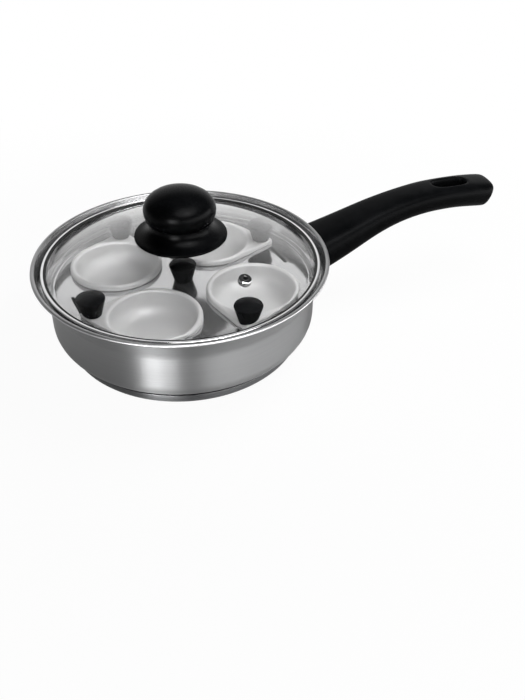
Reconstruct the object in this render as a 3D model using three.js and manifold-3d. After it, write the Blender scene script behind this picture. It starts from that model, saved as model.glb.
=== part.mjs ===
// Egg poacher pan: a stainless pan with a capsule base and a moulded handle, a slotted tray
// that holds dished cups, and a domed glass lid with a knob. Millimetres, +Z up, the origin
// at the middle of the base's underside, the handle along +X.

import * as THREE from 'three';
import { mergeVertices } from 'three/addons/utils/BufferGeometryUtils.js';
import Module from 'manifold-3d';

const wasm = await Module();
wasm.setup();

// Driving dimensions: clearances and facet counts
const GAP = 0.3;                  // free space kept between neighbouring pieces
const SCREW_PLAY = 0.3;           // radial play of a screw in its hole
const SEARCH_TOLERANCE = 1e-6;    // share of the handle's length
const ROUND_FACETS = 40;          // facets of the large round pieces
const CUP_FACETS = 24;
const KNOB_FACETS = 24;
const SMALL_FACETS = 12;
const ARC_STEPS = 4;              // steps of a wide curve in a profile
const EDGE_STEPS = 2;             // steps of a small rounded edge
const BOWL_STEPS = 7;

// Driving dimensions: cups
const CUP_COUNT = 4;
const CUP_RADIUS = 33.2;          // outside of the rolled rim
const CUP_RIM_WIDTH = 4;
const CUP_RIM_HEIGHT = 4.2;       // how far the rim stands above the tray
const CUP_DEPTH = 19;             // rim top to the inside of the bowl
const CUP_FULLNESS = 3.2;         // power of the bowl's profile, where 2 is an ellipse
const CUP_SHEET = 1.2;
const CUP_SPACING = 8.5;          // gap between the rims of two neighbouring cups
const FIRST_CUP_ANGLE = -40.3;    // degrees from the handle
const TAB_KNOB_GAP = 0.8;         // cup rim to the foot of the knob on its tab
const TAB_ANGLES = [-77, -69, -69, -74]; // degrees from each cup's outward direction
const TAB_POINT = 9.2;            // knob's axis to the point of the tab
const TAB_TIP_RADIUS = 2.4;
const TAB_THICKNESS = 3.2;
const TAB_INSET = 0.6;            // how far the tab's edge lies inside the rim's edge

// Driving dimensions: the five small knobs
const KNOB_FOOT_RADIUS = 6.4;
const KNOB_TOP_RADIUS = 10;
const KNOB_HEIGHT = 15;
const KNOB_CROWN = 1.9;           // rise of the slightly domed top
const KNOB_EDGE = 1.2;            // rounding of the top edge
const KNOB_EDGE_TURN = 70;        // degrees of that rounding
const KNOB_HOLE_DEPTH = 9;
const KNOB_SCREW_RADIUS = 1.5;
const KNOB_SCREW_HEAD_RADIUS = 3.4;
const KNOB_SCREW_HEAD_HEIGHT = 1.9;
const KNOB_SCREW_BITE = 7;        // screw length inside the knob

// Driving dimensions: tray
const TRAY_SHEET = 0.8;
const TRAY_MARGIN = 7;            // cup rim to the tray's upright edge
const TRAY_DEPTH = 5;             // tray floor below the start of the pan's flare
const TRAY_CORNER = 2;
const TRAY_FLANGE_RISE = 4;       // height of the flange that hangs on the flare
const SLOT_LENGTH = 24.5;
const SLOT_WIDTH = 2.5;
const SLOT_CIRCLE_INSET = 15.2;   // tray edge to the slots' middle line
const SLOT_ANGLE = -46;           // degrees from the cup's outward direction

// Driving dimensions: pan and base
const PAN_HEIGHT = 66.5;
const PAN_SHEET = 0.8;
const PAN_CLEARANCE = 0.4;        // tray edge to the pan's wall
const BELLY_RADIUS = 13.5;
const FLARE_HEIGHT = 16.5;
const FLARE_WIDTH = 8;
const LIP_WIDTH = 2.8;            // rolled lip outside the flare
const LIP_HEIGHT = 2.2;
const BASE_HEIGHT = 11.6;         // table to the underside of the pan's shell
const BASE_STEP = 5.3;            // base edge past the flat of the shell
const BASE_GROOVE = 1;            // groove between the base cap and the shell
const BASE_EDGE = 10;             // wide rounding of the cap's edge
const CAP_SHEET = 0.6;

// Driving dimensions: lid
const LID_DROP = 7.8;             // pan's top edge to the lid's lowest edge
const BAND_SHEET = 0.5;
const BAND_FLANGE = 1.9;          // width of the band's two flanges
const GASKET_WALL = 0.5;
const GASKET_LIP = 2.9;           // width of the gasket's two lips
const GLASS_THICKNESS = 3;
const GLASS_BRIM = 3;             // flat edge of the glass
const DOME_RISE = 22.6;
const DOME_STEPS = 6;
const VENT_CIRCLE = 63.7;         // lid axis to the steam vent
const VENT_ANGLE = -68;           // degrees from the handle
const VENT_BORE = 1.6;
const VENT_TUBE_RADIUS = 2.8;
const VENT_FLANGE_RADIUS = 4.6;
const VENT_FLANGE_HEIGHT = 1.1;

// Driving dimensions: lid knob
const SKIRT_RADIUS = 32.4;
const SKIRT_EDGE = 1.6;
const SKIRT_HEIGHT = 8.9;         // dome's top to the knob's foot
const NECK_RADIUS = 20.6;
const GRIP_RADIUS = 25.1;
const GRIP_LOWER = 9.4;           // neck to the widest ring
const GRIP_UPPER = 14.5;          // widest ring to the top
const INSERT_RADIUS = 5;
const INSERT_LENGTH = 11;
const LID_SCREW_RADIUS = 2.4;
const LID_SCREW_BITE = 9;         // screw length inside the insert
const LID_SCREW_HEAD_RADIUS = 5;
const LID_SCREW_HEAD_HEIGHT = 2.6;
const SEAL_RADIUS = 9;
const SEAL_THICKNESS = 1.2;
const SEAL_COLLAR_WALL = 1;       // collar that lines the hole in the glass
const WASHER_RADIUS = 8;
const WASHER_THICKNESS = 1;

// Driving dimensions: handle
const HANDLE_LENGTH = 174;        // pan's wall to the handle's end
const HANDLE_RISE = 27.8;         // root to the highest point of the middle line
const HANDLE_ROOT_WIDTH = 42;
const HANDLE_ROOT_THICKNESS = 28;
const HANDLE_GRIP_WIDTH = 30;
const HANDLE_GRIP_THICKNESS = 18.6;
const HANDLE_DROP = 3;            // handle's root below the start of the flare
const HANDLE_ROOT_INSET = 6;      // stretch of the sweep that the pan's wall cuts away
const HANDLE_SQUARENESS = 2.6;    // exponent of the rounded cross-section
const HANDLE_STEPS = 16;
const HANDLE_SIDES = 16;
const HANDLE_STEP_BIAS = 1.5;     // above 1, the steps get closer towards the end
const HANDLE_END_ROUND = 13;
const HANDLE_END_THICKNESS = 0.4; // share of the thickness left at the very end
const HANG_HOLE_LENGTH = 32;
const HANG_HOLE_WIDTH = 12;
const HANG_HOLE_FROM_END = 43;    // middle of the hole to the handle's end

// Stations of the handle, as shares: of its length, of its rise, and of the way from the
// grip's section to the root's
const HANDLE_STATIONS = [
  { along: 0.01, rise: 0, swell: 1 },
  { along: 0.172, rise: 0.288, swell: 0.65 },
  { along: 0.345, rise: 0.701, swell: 0.13 },
  { along: 0.517, rise: 0.935, swell: -0.06 },
  { along: 0.69, rise: 1, swell: 0 },
  { along: 0.862, rise: 0.921, swell: 0.1 },
  { along: 1, rise: 0.791, swell: 0.02 },
];

// Driving dimensions: handle bracket and its screw
const BRACKET_PLATE = 1.6;
const BRACKET_PLATE_HEIGHT = 15;
const BRACKET_PLATE_DROP = 5.2;   // middle of the plate below the handle's root
const BRACKET_HALF_ANGLE = 7;     // degrees of the pan's wall on each side
const TONGUE_LENGTH = 36;
const TONGUE_WIDTH = 14;
const TONGUE_THICKNESS = 3;
const TONGUE_TILT = 15;           // degrees, along the handle's root
const HANDLE_SCREW_FROM_ROOT = 26;
const HANDLE_SCREW_RADIUS = 2.2;
const HANDLE_SCREW_HEAD_RADIUS = 4;
const HANDLE_SCREW_HEAD_HEIGHT = 2.6;
const HANDLE_SCREW_DEPTH = 8;     // tongue to the screw head's seat
const HANDLE_SCREW_TIP = 2.5;     // screw past the tongue
const COUNTERBORE_LENGTH = 30;    // long enough to reach open air below

// Sizes that follow from the driving dimensions
const rad = THREE.MathUtils.degToRad;
const cupInner = CUP_RADIUS - CUP_RIM_WIDTH;
const cupCircle = (CUP_RADIUS + CUP_SPACING / 2) / Math.sin(Math.PI / CUP_COUNT);
const trayInner = cupCircle + CUP_RADIUS + TRAY_MARGIN;
const trayOuter = trayInner + TRAY_SHEET;
const wallInner = trayOuter + PAN_CLEARANCE;
const wallOuter = wallInner + PAN_SHEET;
const flareStart = PAN_HEIGHT - FLARE_HEIGHT;
const flareTop = PAN_HEIGHT - LIP_HEIGHT / 2;
const flareSlope = FLARE_WIDTH / (flareTop - flareStart);
const rimRadius = wallInner + FLARE_WIDTH + LIP_WIDTH;
const shellFlat = wallOuter - BELLY_RADIUS;
const baseRadius = shellFlat + BASE_STEP;
const trayFloor = flareStart - TRAY_DEPTH;
const slotCircle = trayInner - SLOT_CIRCLE_INSET;
const tabReach = CUP_RADIUS + TAB_KNOB_GAP + KNOB_FOOT_RADIUS;
const knobHoleRadius = KNOB_SCREW_RADIUS + SCREW_PLAY;

const lidBottom = PAN_HEIGHT - LID_DROP;
const flareAt = (z) => wallInner + (z - flareStart) * flareSlope;
const lidRadius = flareAt(lidBottom) - GAP * Math.hypot(1, flareSlope);
const gasketOuter = lidRadius - BAND_SHEET - GAP;
const glassRadius = gasketOuter - GASKET_WALL - GAP;
const gasketBottom = lidBottom + BAND_SHEET;
const glassBottom = gasketBottom + GASKET_WALL;
const brimTop = glassBottom + GLASS_THICKNESS;
const gasketTop = brimTop + GASKET_WALL;
const domeRadius = glassRadius - GLASS_BRIM;
const domeSphere = (domeRadius ** 2 + DOME_RISE ** 2) / (2 * DOME_RISE);
const domeAt = (r) => brimTop + DOME_RISE - domeSphere + Math.sqrt(domeSphere ** 2 - r ** 2);
const domeTop = brimTop + DOME_RISE;
const glassHole = LID_SCREW_RADIUS + SCREW_PLAY + SEAL_COLLAR_WALL + GAP;
const skirtFoot = domeTop + SKIRT_HEIGHT;
const sealTop = domeAt(SEAL_RADIUS) - GLASS_THICKNESS - GAP;
const screwPlayRadius = LID_SCREW_RADIUS + SCREW_PLAY;

const rootHeight = flareStart - HANDLE_DROP;

// Materials
const finish = (color, roughness, metalness, extra = {}) =>
  new THREE.MeshStandardMaterial({ color, roughness, metalness, ...extra });
const brushedSteel = finish(0xb4b4b4, 0.38, 1);
const polishedSteel = finish(0xc6c7c9, 0.14, 1);
const aluminium = finish(0xa9abad, 0.45, 1);
const coatedCup = finish(0xb9bbbc, 0.55, 0.25);
const blackPhenolic = finish(0x0c0d0f, 0.3, 0);
const clearGlass = finish(0xe8f0f0, 0.04, 0, { transparent: true, opacity: 0.25 });
const silicone = finish(0x141516, 0.7, 0);
const brass = finish(0xb08d4a, 0.35, 1);

const pan = new THREE.Group();
const object = new THREE.Group();
object.add(pan);

// Geometry helpers

/** Closed mesh with shared corners and no flat triangles. */
function weld(geometry) {
  const bare = geometry.clone();
  bare.deleteAttribute('normal');
  bare.deleteAttribute('uv');
  const merged = mergeVertices(bare);
  const index = merged.index.array;
  const kept = [];
  for (let i = 0; i < index.length; i += 3) {
    const [a, b, c] = [index[i], index[i + 1], index[i + 2]];
    if (a !== b && b !== c && c !== a) kept.push(a, b, c);
  }
  merged.setIndex(kept);
  return merged;
}

/** Body of revolution about Z. The profile of [radius, height] runs up the outside. */
function turned(profile, facets = ROUND_FACETS) {
  const points = profile.map(([r, z]) => new THREE.Vector2(r, z));
  return weld(new THREE.LatheGeometry(points, facets).rotateX(Math.PI / 2));
}

/** Ring of revolution whose profile closes on itself. */
function turnedRing(profile, facets = ROUND_FACETS) {
  return turned([...profile, profile[0]], facets);
}

/** Upright cylinder between two heights. */
function rod(radius, bottom, top, facets = SMALL_FACETS) {
  return turned([[0, bottom], [radius, bottom], [radius, top], [0, top]], facets);
}

/** Plate of a flat outline between two heights. */
function plate(shape, bottom, top, curveSegments = SMALL_FACETS) {
  const options = { depth: top - bottom, bevelEnabled: false, curveSegments };
  return weld(new THREE.ExtrudeGeometry(shape, options).translate(0, 0, bottom));
}

/** Slot outline with round ends, along X, centred on the origin. */
function slotShape(length, width) {
  const half = (length - width) / 2;
  const shape = new THREE.Shape();
  shape.absarc(half, 0, width / 2, -Math.PI / 2, Math.PI / 2);
  shape.absarc(-half, 0, width / 2, Math.PI / 2, Math.PI * 1.5);
  shape.closePath();
  return shape;
}

/** Points of an elliptical arc in a profile, angles in degrees. */
function arc(centre, radii, from, to, steps = ARC_STEPS) {
  const points = [];
  for (let i = 0; i <= steps; i += 1) {
    const a = rad(from + ((to - from) * i) / steps);
    points.push([centre[0] + radii[0] * Math.cos(a), centre[1] + radii[1] * Math.sin(a)]);
  }
  return points;
}

/** Closed skin over a row of rings with equal point counts. */
function loft(rings) {
  const sides = rings[0].length;
  const position = rings.flat().flatMap((p) => [p.x, p.y, p.z]);
  const index = [];
  for (let i = 0; i + 1 < rings.length; i += 1) {
    for (let j = 0; j < sides; j += 1) {
      const k = (j + 1) % sides;
      const [a, b] = [i * sides + j, i * sides + k];
      index.push(a, b, b + sides, a, b + sides, a + sides);
    }
  }
  const last = (rings.length - 1) * sides;
  for (let j = 1; j + 1 < sides; j += 1) {
    index.push(0, j + 1, j, last, last + j, last + j + 1);
  }
  const geometry = new THREE.BufferGeometry();
  geometry.setAttribute('position', new THREE.Float32BufferAttribute(position, 3));
  geometry.setIndex(index);
  return geometry;
}

function toSolid(geometry) {
  const welded = weld(geometry);
  return new wasm.Manifold(new wasm.Mesh({
    numProp: 3,
    vertProperties: new Float32Array(welded.attributes.position.array),
    triVerts: new Uint32Array(welded.index.array),
  }));
}

function fromSolid(solid) {
  const mesh = solid.getMesh();
  const geometry = new THREE.BufferGeometry();
  geometry.setAttribute('position', new THREE.BufferAttribute(new Float32Array(mesh.vertProperties), 3));
  geometry.setIndex(new THREE.BufferAttribute(new Uint32Array(mesh.triVerts), 1));
  return geometry;
}

/** A geometry with others cut out of it. */
function cut(geometry, ...tools) {
  return fromSolid(tools.reduce((solid, tool) => solid.subtract(toSolid(tool)), toSolid(geometry)));
}

/** Two geometries joined into one body. */
function join(first, second) {
  return fromSolid(toSolid(first).add(toSolid(second)));
}

function addPiece(group, name, geometry, material) {
  geometry.computeVertexNormals();
  const mesh = new THREE.Mesh(geometry, material);
  mesh.name = name;
  group.add(mesh);
  return mesh;
}

// Pan: one drawn shell with a rounded belly, a flared mouth and a rolled lip

/** Outside of the shell from the edge of its flat to the lip, moved outwards by a distance. */
function shellOutside(grow = 0) {
  const belly = arc([shellFlat, BASE_HEIGHT + BELLY_RADIUS],
    [BELLY_RADIUS + grow, BELLY_RADIUS + grow], -90, 0);
  const lipRoot = flareTop - LIP_HEIGHT / 2;
  return [
    ...belly,
    [wallOuter + grow, flareStart],
    [flareAt(lipRoot) + PAN_SHEET + grow, lipRoot],
  ];
}

function panShell() {
  const lipCentre = [rimRadius - LIP_WIDTH / 2, PAN_HEIGHT - LIP_HEIGHT / 2];
  const lip = arc(lipCentre, [LIP_WIDTH / 2, LIP_HEIGHT / 2], -90, 180);
  const innerBelly = arc([shellFlat, BASE_HEIGHT + BELLY_RADIUS],
    [BELLY_RADIUS - PAN_SHEET, BELLY_RADIUS - PAN_SHEET], 0, -90);
  return turned([
    [0, BASE_HEIGHT],
    ...shellOutside(),
    ...lip,
    [wallInner, flareStart],
    ...innerBelly,
    [0, BASE_HEIGHT + PAN_SHEET],
  ]);
}

// Capsule base: an aluminium disc that spreads the heat, closed in by a thin steel cap

function baseCap() {
  const top = BASE_HEIGHT - BASE_GROOVE;
  const corner = [baseRadius - BASE_EDGE, BASE_EDGE];
  const inner = BASE_EDGE - CAP_SHEET;
  return turned([
    [0, 0],
    ...arc(corner, [BASE_EDGE, BASE_EDGE], -90, 0),
    [baseRadius, top],
    [baseRadius - CAP_SHEET, top],
    ...arc(corner, [inner, inner], 0, -90),
    [0, CAP_SHEET],
  ]);
}

function baseCore() {
  const radius = baseRadius - CAP_SHEET - GAP;
  const edge = BASE_EDGE - CAP_SHEET;
  return turned([
    [0, CAP_SHEET],
    ...arc([radius - edge, CAP_SHEET + edge], [edge, edge], -90, 0),
    [radius, BASE_HEIGHT - BASE_GROOVE],
    [shellFlat, BASE_HEIGHT],
    [0, BASE_HEIGHT],
  ]);
}

addPiece(pan, 'pan_body', panShell(), brushedSteel);
addPiece(pan, 'base_core', baseCore(), aluminium);
addPiece(pan, 'base_cap', baseCap(), brushedSteel);

// Handle: a moulded grip on a welded bracket, held by one screw from below

const handleLine = new THREE.CatmullRomCurve3([
  new THREE.Vector3(wallOuter - HANDLE_ROOT_INSET, 0, rootHeight),
  ...HANDLE_STATIONS.map((s) => new THREE.Vector3(
    wallOuter + s.along * HANDLE_LENGTH, 0, rootHeight + s.rise * HANDLE_RISE)),
]);

/** Width and thickness of the handle at one station. */
function stationSize({ swell }) {
  return new THREE.Vector3(
    THREE.MathUtils.lerp(HANDLE_GRIP_WIDTH, HANDLE_ROOT_WIDTH, swell),
    THREE.MathUtils.lerp(HANDLE_GRIP_THICKNESS, HANDLE_ROOT_THICKNESS, swell),
    0);
}

const handleSizes = new THREE.CatmullRomCurve3(
  [HANDLE_STATIONS[0], ...HANDLE_STATIONS].map(stationSize));

/** Place and cross-section of the handle, from 0 at the root to 1 at the end. */
function handleAt(t) {
  const centre = handleLine.getPoint(t);
  const tangent = handleLine.getTangent(t);
  const up = new THREE.Vector3(-tangent.z, 0, tangent.x);
  const size = handleSizes.getPoint(t);
  return { centre, tangent, up, width: size.x, thickness: size.y };
}

function handleRing(t) {
  const { centre, up, width, thickness } = handleAt(t);
  const left = wallOuter + HANDLE_LENGTH - centre.x;
  const share = Math.min(Math.max(left / HANDLE_END_ROUND, 0), 1);
  const round = Math.max(Math.sqrt(1 - (1 - share) ** 2), HANDLE_END_THICKNESS);
  const swell = 2 / HANDLE_SQUARENESS;
  const ring = [];
  for (let j = 0; j < HANDLE_SIDES; j += 1) {
    const a = (j / HANDLE_SIDES) * Math.PI * 2;
    const across = Math.sign(Math.cos(a)) * Math.abs(Math.cos(a)) ** swell;
    const over = Math.sign(Math.sin(a)) * Math.abs(Math.sin(a)) ** swell;
    const point = centre.clone().addScaledVector(up, (over * thickness * round) / 2);
    point.y += (across * width * round) / 2;
    ring.push(point);
  }
  return ring;
}

/** Stations along the sweep, closer together where the end rounds off. */
function handleSkin() {
  const rings = [];
  for (let i = 0; i <= HANDLE_STEPS; i += 1) {
    const s = i / HANDLE_STEPS;
    rings.push(handleRing(1 - (1 - s) ** HANDLE_STEP_BIAS));
  }
  return loft(rings);
}

/** Part of the sweep whose centre lies at a distance along X. */
function handleNear(x) {
  let low = 0;
  let high = 1;
  while (high - low > SEARCH_TOLERANCE) {
    const middle = (low + high) / 2;
    if (handleLine.getPoint(middle).x < x) low = middle;
    else high = middle;
  }
  return handleAt(low);
}

// Frame of the bracket's tongue: its origin on the pan's wall, X along the tongue
const tongueFrame = new THREE.Matrix4()
  .makeRotationY(-rad(TONGUE_TILT))
  .setPosition(wallOuter, 0, rootHeight);
const inTongueFrame = (geometry) => geometry.applyMatrix4(tongueFrame);

function tongueBox(grow) {
  const box = new THREE.BoxGeometry(
    TONGUE_LENGTH + grow, TONGUE_WIDTH + 2 * grow, TONGUE_THICKNESS + 2 * grow);
  return inTongueFrame(box.translate((TONGUE_LENGTH + grow) / 2 + BRACKET_PLATE / 2, 0, 0));
}

/** Curved plate on the pan's wall, grown on every side by a distance. */
function wallPlate(grow) {
  const inner = wallOuter + GAP - grow;
  const outer = wallOuter + GAP + BRACKET_PLATE + grow;
  const half = rad(BRACKET_HALF_ANGLE) + grow / wallOuter;
  const shape = new THREE.Shape();
  shape.absarc(0, 0, outer, -half, half);
  shape.absarc(0, 0, inner, half, -half, true);
  shape.closePath();
  const middle = rootHeight - BRACKET_PLATE_DROP;
  const reach = BRACKET_PLATE_HEIGHT / 2 + grow;
  return plate(shape, middle - reach, middle + reach, ARC_STEPS);
}

function screwAxis(geometry) {
  return inTongueFrame(geometry.translate(HANDLE_SCREW_FROM_ROOT, 0, 0));
}

const screwSeat = -TONGUE_THICKNESS / 2 - HANDLE_SCREW_DEPTH;
const screwTip = TONGUE_THICKNESS / 2 + HANDLE_SCREW_TIP;

function handleBracket() {
  const hole = screwAxis(rod(HANDLE_SCREW_RADIUS + SCREW_PLAY, -TONGUE_THICKNESS, TONGUE_THICKNESS));
  return cut(join(wallPlate(0), tongueBox(0)), hole);
}

function handleScrew() {
  return screwAxis(turned([
    [0, screwSeat - HANDLE_SCREW_HEAD_HEIGHT],
    [HANDLE_SCREW_HEAD_RADIUS, screwSeat - HANDLE_SCREW_HEAD_HEIGHT],
    [HANDLE_SCREW_HEAD_RADIUS, screwSeat],
    [HANDLE_SCREW_RADIUS, screwSeat],
    [HANDLE_SCREW_RADIUS, screwTip],
    [0, screwTip],
  ], SMALL_FACETS));
}

function handleGrip() {
  const panSpace = turned([
    [0, 0],
    [shellFlat, 0],
    ...shellOutside(GAP),
    [rimRadius + GAP, PAN_HEIGHT - LIP_HEIGHT],
    [rimRadius + GAP, PAN_HEIGHT + HANDLE_ROOT_INSET],
    [0, PAN_HEIGHT + HANDLE_ROOT_INSET],
  ]);
  const screwHole = screwAxis(rod(HANDLE_SCREW_RADIUS + SCREW_PLAY, screwSeat, screwTip + GAP));
  const counterbore = screwAxis(rod(HANDLE_SCREW_HEAD_RADIUS + SCREW_PLAY,
    screwSeat - COUNTERBORE_LENGTH, screwSeat + GAP));
  const hole = handleNear(wallOuter + HANDLE_LENGTH - HANG_HOLE_FROM_END);
  const hangHole = plate(slotShape(HANG_HOLE_LENGTH, HANG_HOLE_WIDTH), -hole.thickness, hole.thickness)
    .rotateY(-Math.atan2(hole.tangent.z, hole.tangent.x))
    .translate(hole.centre.x, 0, hole.centre.z);
  return cut(handleSkin(), panSpace, wallPlate(GAP), tongueBox(GAP), screwHole, counterbore, hangHole);
}

addPiece(pan, 'handle_bracket', handleBracket(), brushedSteel);
addPiece(pan, 'handle', handleGrip(), blackPhenolic);
addPiece(pan, 'handle_screw', handleScrew(), polishedSteel);

// Small knob and its countersunk screw, standing on the height 0

function smallKnob() {
  const shoulder = KNOB_HEIGHT - KNOB_CROWN;
  const flat = KNOB_TOP_RADIUS - KNOB_EDGE;
  const crownAt = (share) => KNOB_HEIGHT - KNOB_CROWN * share ** 2;
  return turned([
    [knobHoleRadius, 0],
    [KNOB_FOOT_RADIUS, 0],
    [KNOB_TOP_RADIUS, shoulder - KNOB_EDGE],
    ...arc([flat, shoulder - KNOB_EDGE], [KNOB_EDGE, KNOB_EDGE], 0, KNOB_EDGE_TURN, EDGE_STEPS),
    [flat / 2, crownAt(1 / 2)],
    [0, KNOB_HEIGHT],
    [0, KNOB_HOLE_DEPTH],
    [knobHoleRadius, KNOB_HOLE_DEPTH],
    [knobHoleRadius, 0],
  ], SMALL_FACETS + ARC_STEPS);
}

/** Countersunk screw whose head's flat lies at a height, grown by a distance. */
function countersunkScrew(headFlat, grow = 0) {
  const headTop = headFlat + KNOB_SCREW_HEAD_HEIGHT;
  const tip = KNOB_SCREW_BITE + grow;
  return turned([
    [0, headFlat - grow],
    [KNOB_SCREW_HEAD_RADIUS + grow, headFlat - grow],
    [KNOB_SCREW_HEAD_RADIUS + grow, headFlat],
    [KNOB_SCREW_RADIUS + grow, headTop],
    [KNOB_SCREW_RADIUS + grow, tip],
    [0, tip],
  ], SMALL_FACETS);
}

// Tray: a drawn dish that hangs on the pan's flare, with a hole for each cup, a steam slot
// beside each hole and its own knob in the middle

const tray = new THREE.Group();
tray.position.z = trayFloor;
object.add(tray);

const holeShare = 1 - (CUP_RIM_HEIGHT / CUP_DEPTH) ** CUP_FULLNESS;
const cupHole = cupInner * holeShare ** (1 / CUP_FULLNESS) + CUP_SHEET + GAP;

function trayDish() {
  const corner = [trayInner - TRAY_CORNER, TRAY_CORNER];
  const outer = TRAY_CORNER + TRAY_SHEET;
  const flangeTop = TRAY_DEPTH + TRAY_FLANGE_RISE;
  const flangeOut = TRAY_FLANGE_RISE * flareSlope;
  const dish = turnedRing([
    [knobHoleRadius, -TRAY_SHEET],
    ...arc(corner, [outer, outer], -90, 0, EDGE_STEPS),
    [trayOuter, TRAY_DEPTH],
    [trayOuter + flangeOut, flangeTop],
    [trayInner + flangeOut, flangeTop],
    [trayInner, TRAY_DEPTH],
    ...arc(corner, [TRAY_CORNER, TRAY_CORNER], 0, -90, EDGE_STEPS),
    [knobHoleRadius, 0],
  ]);
  const cuts = [];
  for (let i = 0; i < CUP_COUNT; i += 1) {
    const angle = cupAngle(i);
    cuts.push(rod(cupHole, -TRAY_CORNER, TRAY_CORNER, CUP_FACETS)
      .rotateZ(angle)
      .translate(cupCircle * Math.cos(angle), cupCircle * Math.sin(angle), 0));
    const slot = angle + rad(SLOT_ANGLE);
    cuts.push(plate(slotShape(SLOT_LENGTH, SLOT_WIDTH), -TRAY_CORNER, TRAY_CORNER, ARC_STEPS)
      .rotateZ(slot + Math.PI / 2)
      .translate(slotCircle * Math.cos(slot), slotCircle * Math.sin(slot), 0));
  }
  return cut(dish, ...cuts);
}

/** Turn of one cup about the tray's middle, in radians. */
function cupAngle(i) {
  return rad(FIRST_CUP_ANGLE) + (i * Math.PI * 2) / CUP_COUNT;
}

addPiece(tray, 'tray', trayDish(), polishedSteel);
addPiece(tray, 'tray_knob', smallKnob(), blackPhenolic);
const trayScrewSeat = -TRAY_SHEET - GAP;
addPiece(tray, 'tray_knob_screw', turned([
  [0, trayScrewSeat - KNOB_SCREW_HEAD_HEIGHT],
  [KNOB_SCREW_HEAD_RADIUS, trayScrewSeat - KNOB_SCREW_HEAD_HEIGHT],
  [KNOB_SCREW_HEAD_RADIUS, trayScrewSeat],
  [KNOB_SCREW_RADIUS, trayScrewSeat],
  [KNOB_SCREW_RADIUS, KNOB_SCREW_BITE],
  [0, KNOB_SCREW_BITE],
], SMALL_FACETS), polishedSteel);

// Cups: coated dishes with a rolled rim that rests on the tray and a pointed tab for the knob.
// In a cup's own frame the height 0 is the rim's underside and X points along its tab.

/** Profile of the bowl, steep at the rim and flat in the middle, from a height down to the axis. */
function bowl(radius, depth, from) {
  const top = CUP_RIM_HEIGHT;
  const power = 2 / CUP_FULLNESS;
  const start = Math.asin(((top - from) / depth) ** (1 / power));
  const points = [];
  for (let k = 0; k < BOWL_STEPS; k += 1) {
    const angle = start + ((Math.PI / 2 - start) * k) / BOWL_STEPS;
    points.push([radius * Math.cos(angle) ** power, top - depth * Math.sin(angle) ** power]);
  }
  points.push([0, top - depth]);
  return points;
}

function cupDish() {
  const rim = [cupInner + CUP_RIM_WIDTH / 2, CUP_RIM_HEIGHT - CUP_RIM_WIDTH / 2];
  const outside = bowl(cupInner + CUP_SHEET, CUP_DEPTH + CUP_SHEET, 0).reverse();
  const inside = bowl(cupInner, CUP_DEPTH, rim[1]);
  return turned([
    ...outside,
    [CUP_RADIUS, 0],
    ...arc(rim, [CUP_RIM_WIDTH / 2, CUP_RIM_WIDTH / 2], 0, 180),
    ...inside,
  ], CUP_FACETS);
}

/** Drop-shaped lip of the cup: the rim's circle drawn out to the rounded point of the tab. */
function tabPlate() {
  const round = CUP_RADIUS - TAB_INSET;
  const tip = tabReach + TAB_POINT - TAB_TIP_RADIUS;
  const lean = Math.acos((round - TAB_TIP_RADIUS) / tip);
  const shape = new THREE.Shape();
  shape.absarc(0, 0, round, lean, Math.PI * 2 - lean);
  shape.absarc(tip, 0, TAB_TIP_RADIUS, -lean, lean);
  shape.closePath();
  const opening = new THREE.Path();
  opening.absarc(0, 0, cupInner + CUP_RIM_WIDTH / 2, 0, Math.PI * 2, true);
  shape.holes.push(opening);
  return plate(shape, 0, TAB_THICKNESS);
}

function cupBody() {
  const screwHole = countersunkScrew(-TAB_THICKNESS + GAP, SCREW_PLAY)
    .translate(tabReach, 0, TAB_THICKNESS);
  return cut(join(cupDish(), tabPlate()), screwHole);
}

for (let i = 0; i < CUP_COUNT; i += 1) {
  const angle = cupAngle(i);
  const cup = new THREE.Group();
  cup.position.set(cupCircle * Math.cos(angle), cupCircle * Math.sin(angle), GAP);
  cup.rotation.z = angle + rad(TAB_ANGLES[i % TAB_ANGLES.length]);
  tray.add(cup);
  const tip = new THREE.Group();
  tip.position.set(tabReach, 0, TAB_THICKNESS);
  cup.add(tip);
  addPiece(cup, `cup_${i + 1}`, cupBody(), coatedCup);
  addPiece(tip, `cup_knob_${i + 1}`, smallKnob().translate(0, 0, GAP), blackPhenolic);
  addPiece(tip, `cup_knob_screw_${i + 1}`, countersunkScrew(-TAB_THICKNESS + GAP), polishedSteel);
}

// Lid: a domed glass with a gasket and a steel band round its edge, a steam vent and a knob

const lid = new THREE.Group();
object.add(lid);

function glassDome() {
  const outside = [];
  const inside = [];
  for (let i = 0; i <= DOME_STEPS; i += 1) {
    const r = glassHole + ((domeRadius - glassHole) * i) / DOME_STEPS;
    outside.unshift([r, domeAt(r)]);
    inside.push([r, domeAt(r) - GLASS_THICKNESS]);
  }
  return turnedRing([...inside, [glassRadius, glassBottom], [glassRadius, brimTop], ...outside]);
}

// Frame of the vent: Z square to the glass, the height 0 in the middle of the glass
const ventLean = Math.asin(VENT_CIRCLE / domeSphere);
const ventHalf = (GLASS_THICKNESS * Math.cos(ventLean)) / 2;
const ventFrame = new THREE.Matrix4()
  .makeRotationZ(rad(VENT_ANGLE))
  .multiply(new THREE.Matrix4().makeTranslation(
    VENT_CIRCLE, 0, domeAt(VENT_CIRCLE) - GLASS_THICKNESS / 2))
  .multiply(new THREE.Matrix4().makeRotationY(ventLean));

function ventEyelet() {
  const seat = ventHalf + GAP;
  const end = seat + VENT_FLANGE_HEIGHT;
  const lip = VENT_FLANGE_RADIUS - VENT_FLANGE_HEIGHT / 2;
  return turnedRing([
    [VENT_BORE, -end],
    [lip, -end],
    [VENT_FLANGE_RADIUS, -seat],
    [VENT_TUBE_RADIUS, -seat],
    [VENT_TUBE_RADIUS, seat],
    [VENT_FLANGE_RADIUS, seat],
    [lip, end],
    [VENT_BORE, end],
  ], SMALL_FACETS).applyMatrix4(ventFrame);
}

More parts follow.
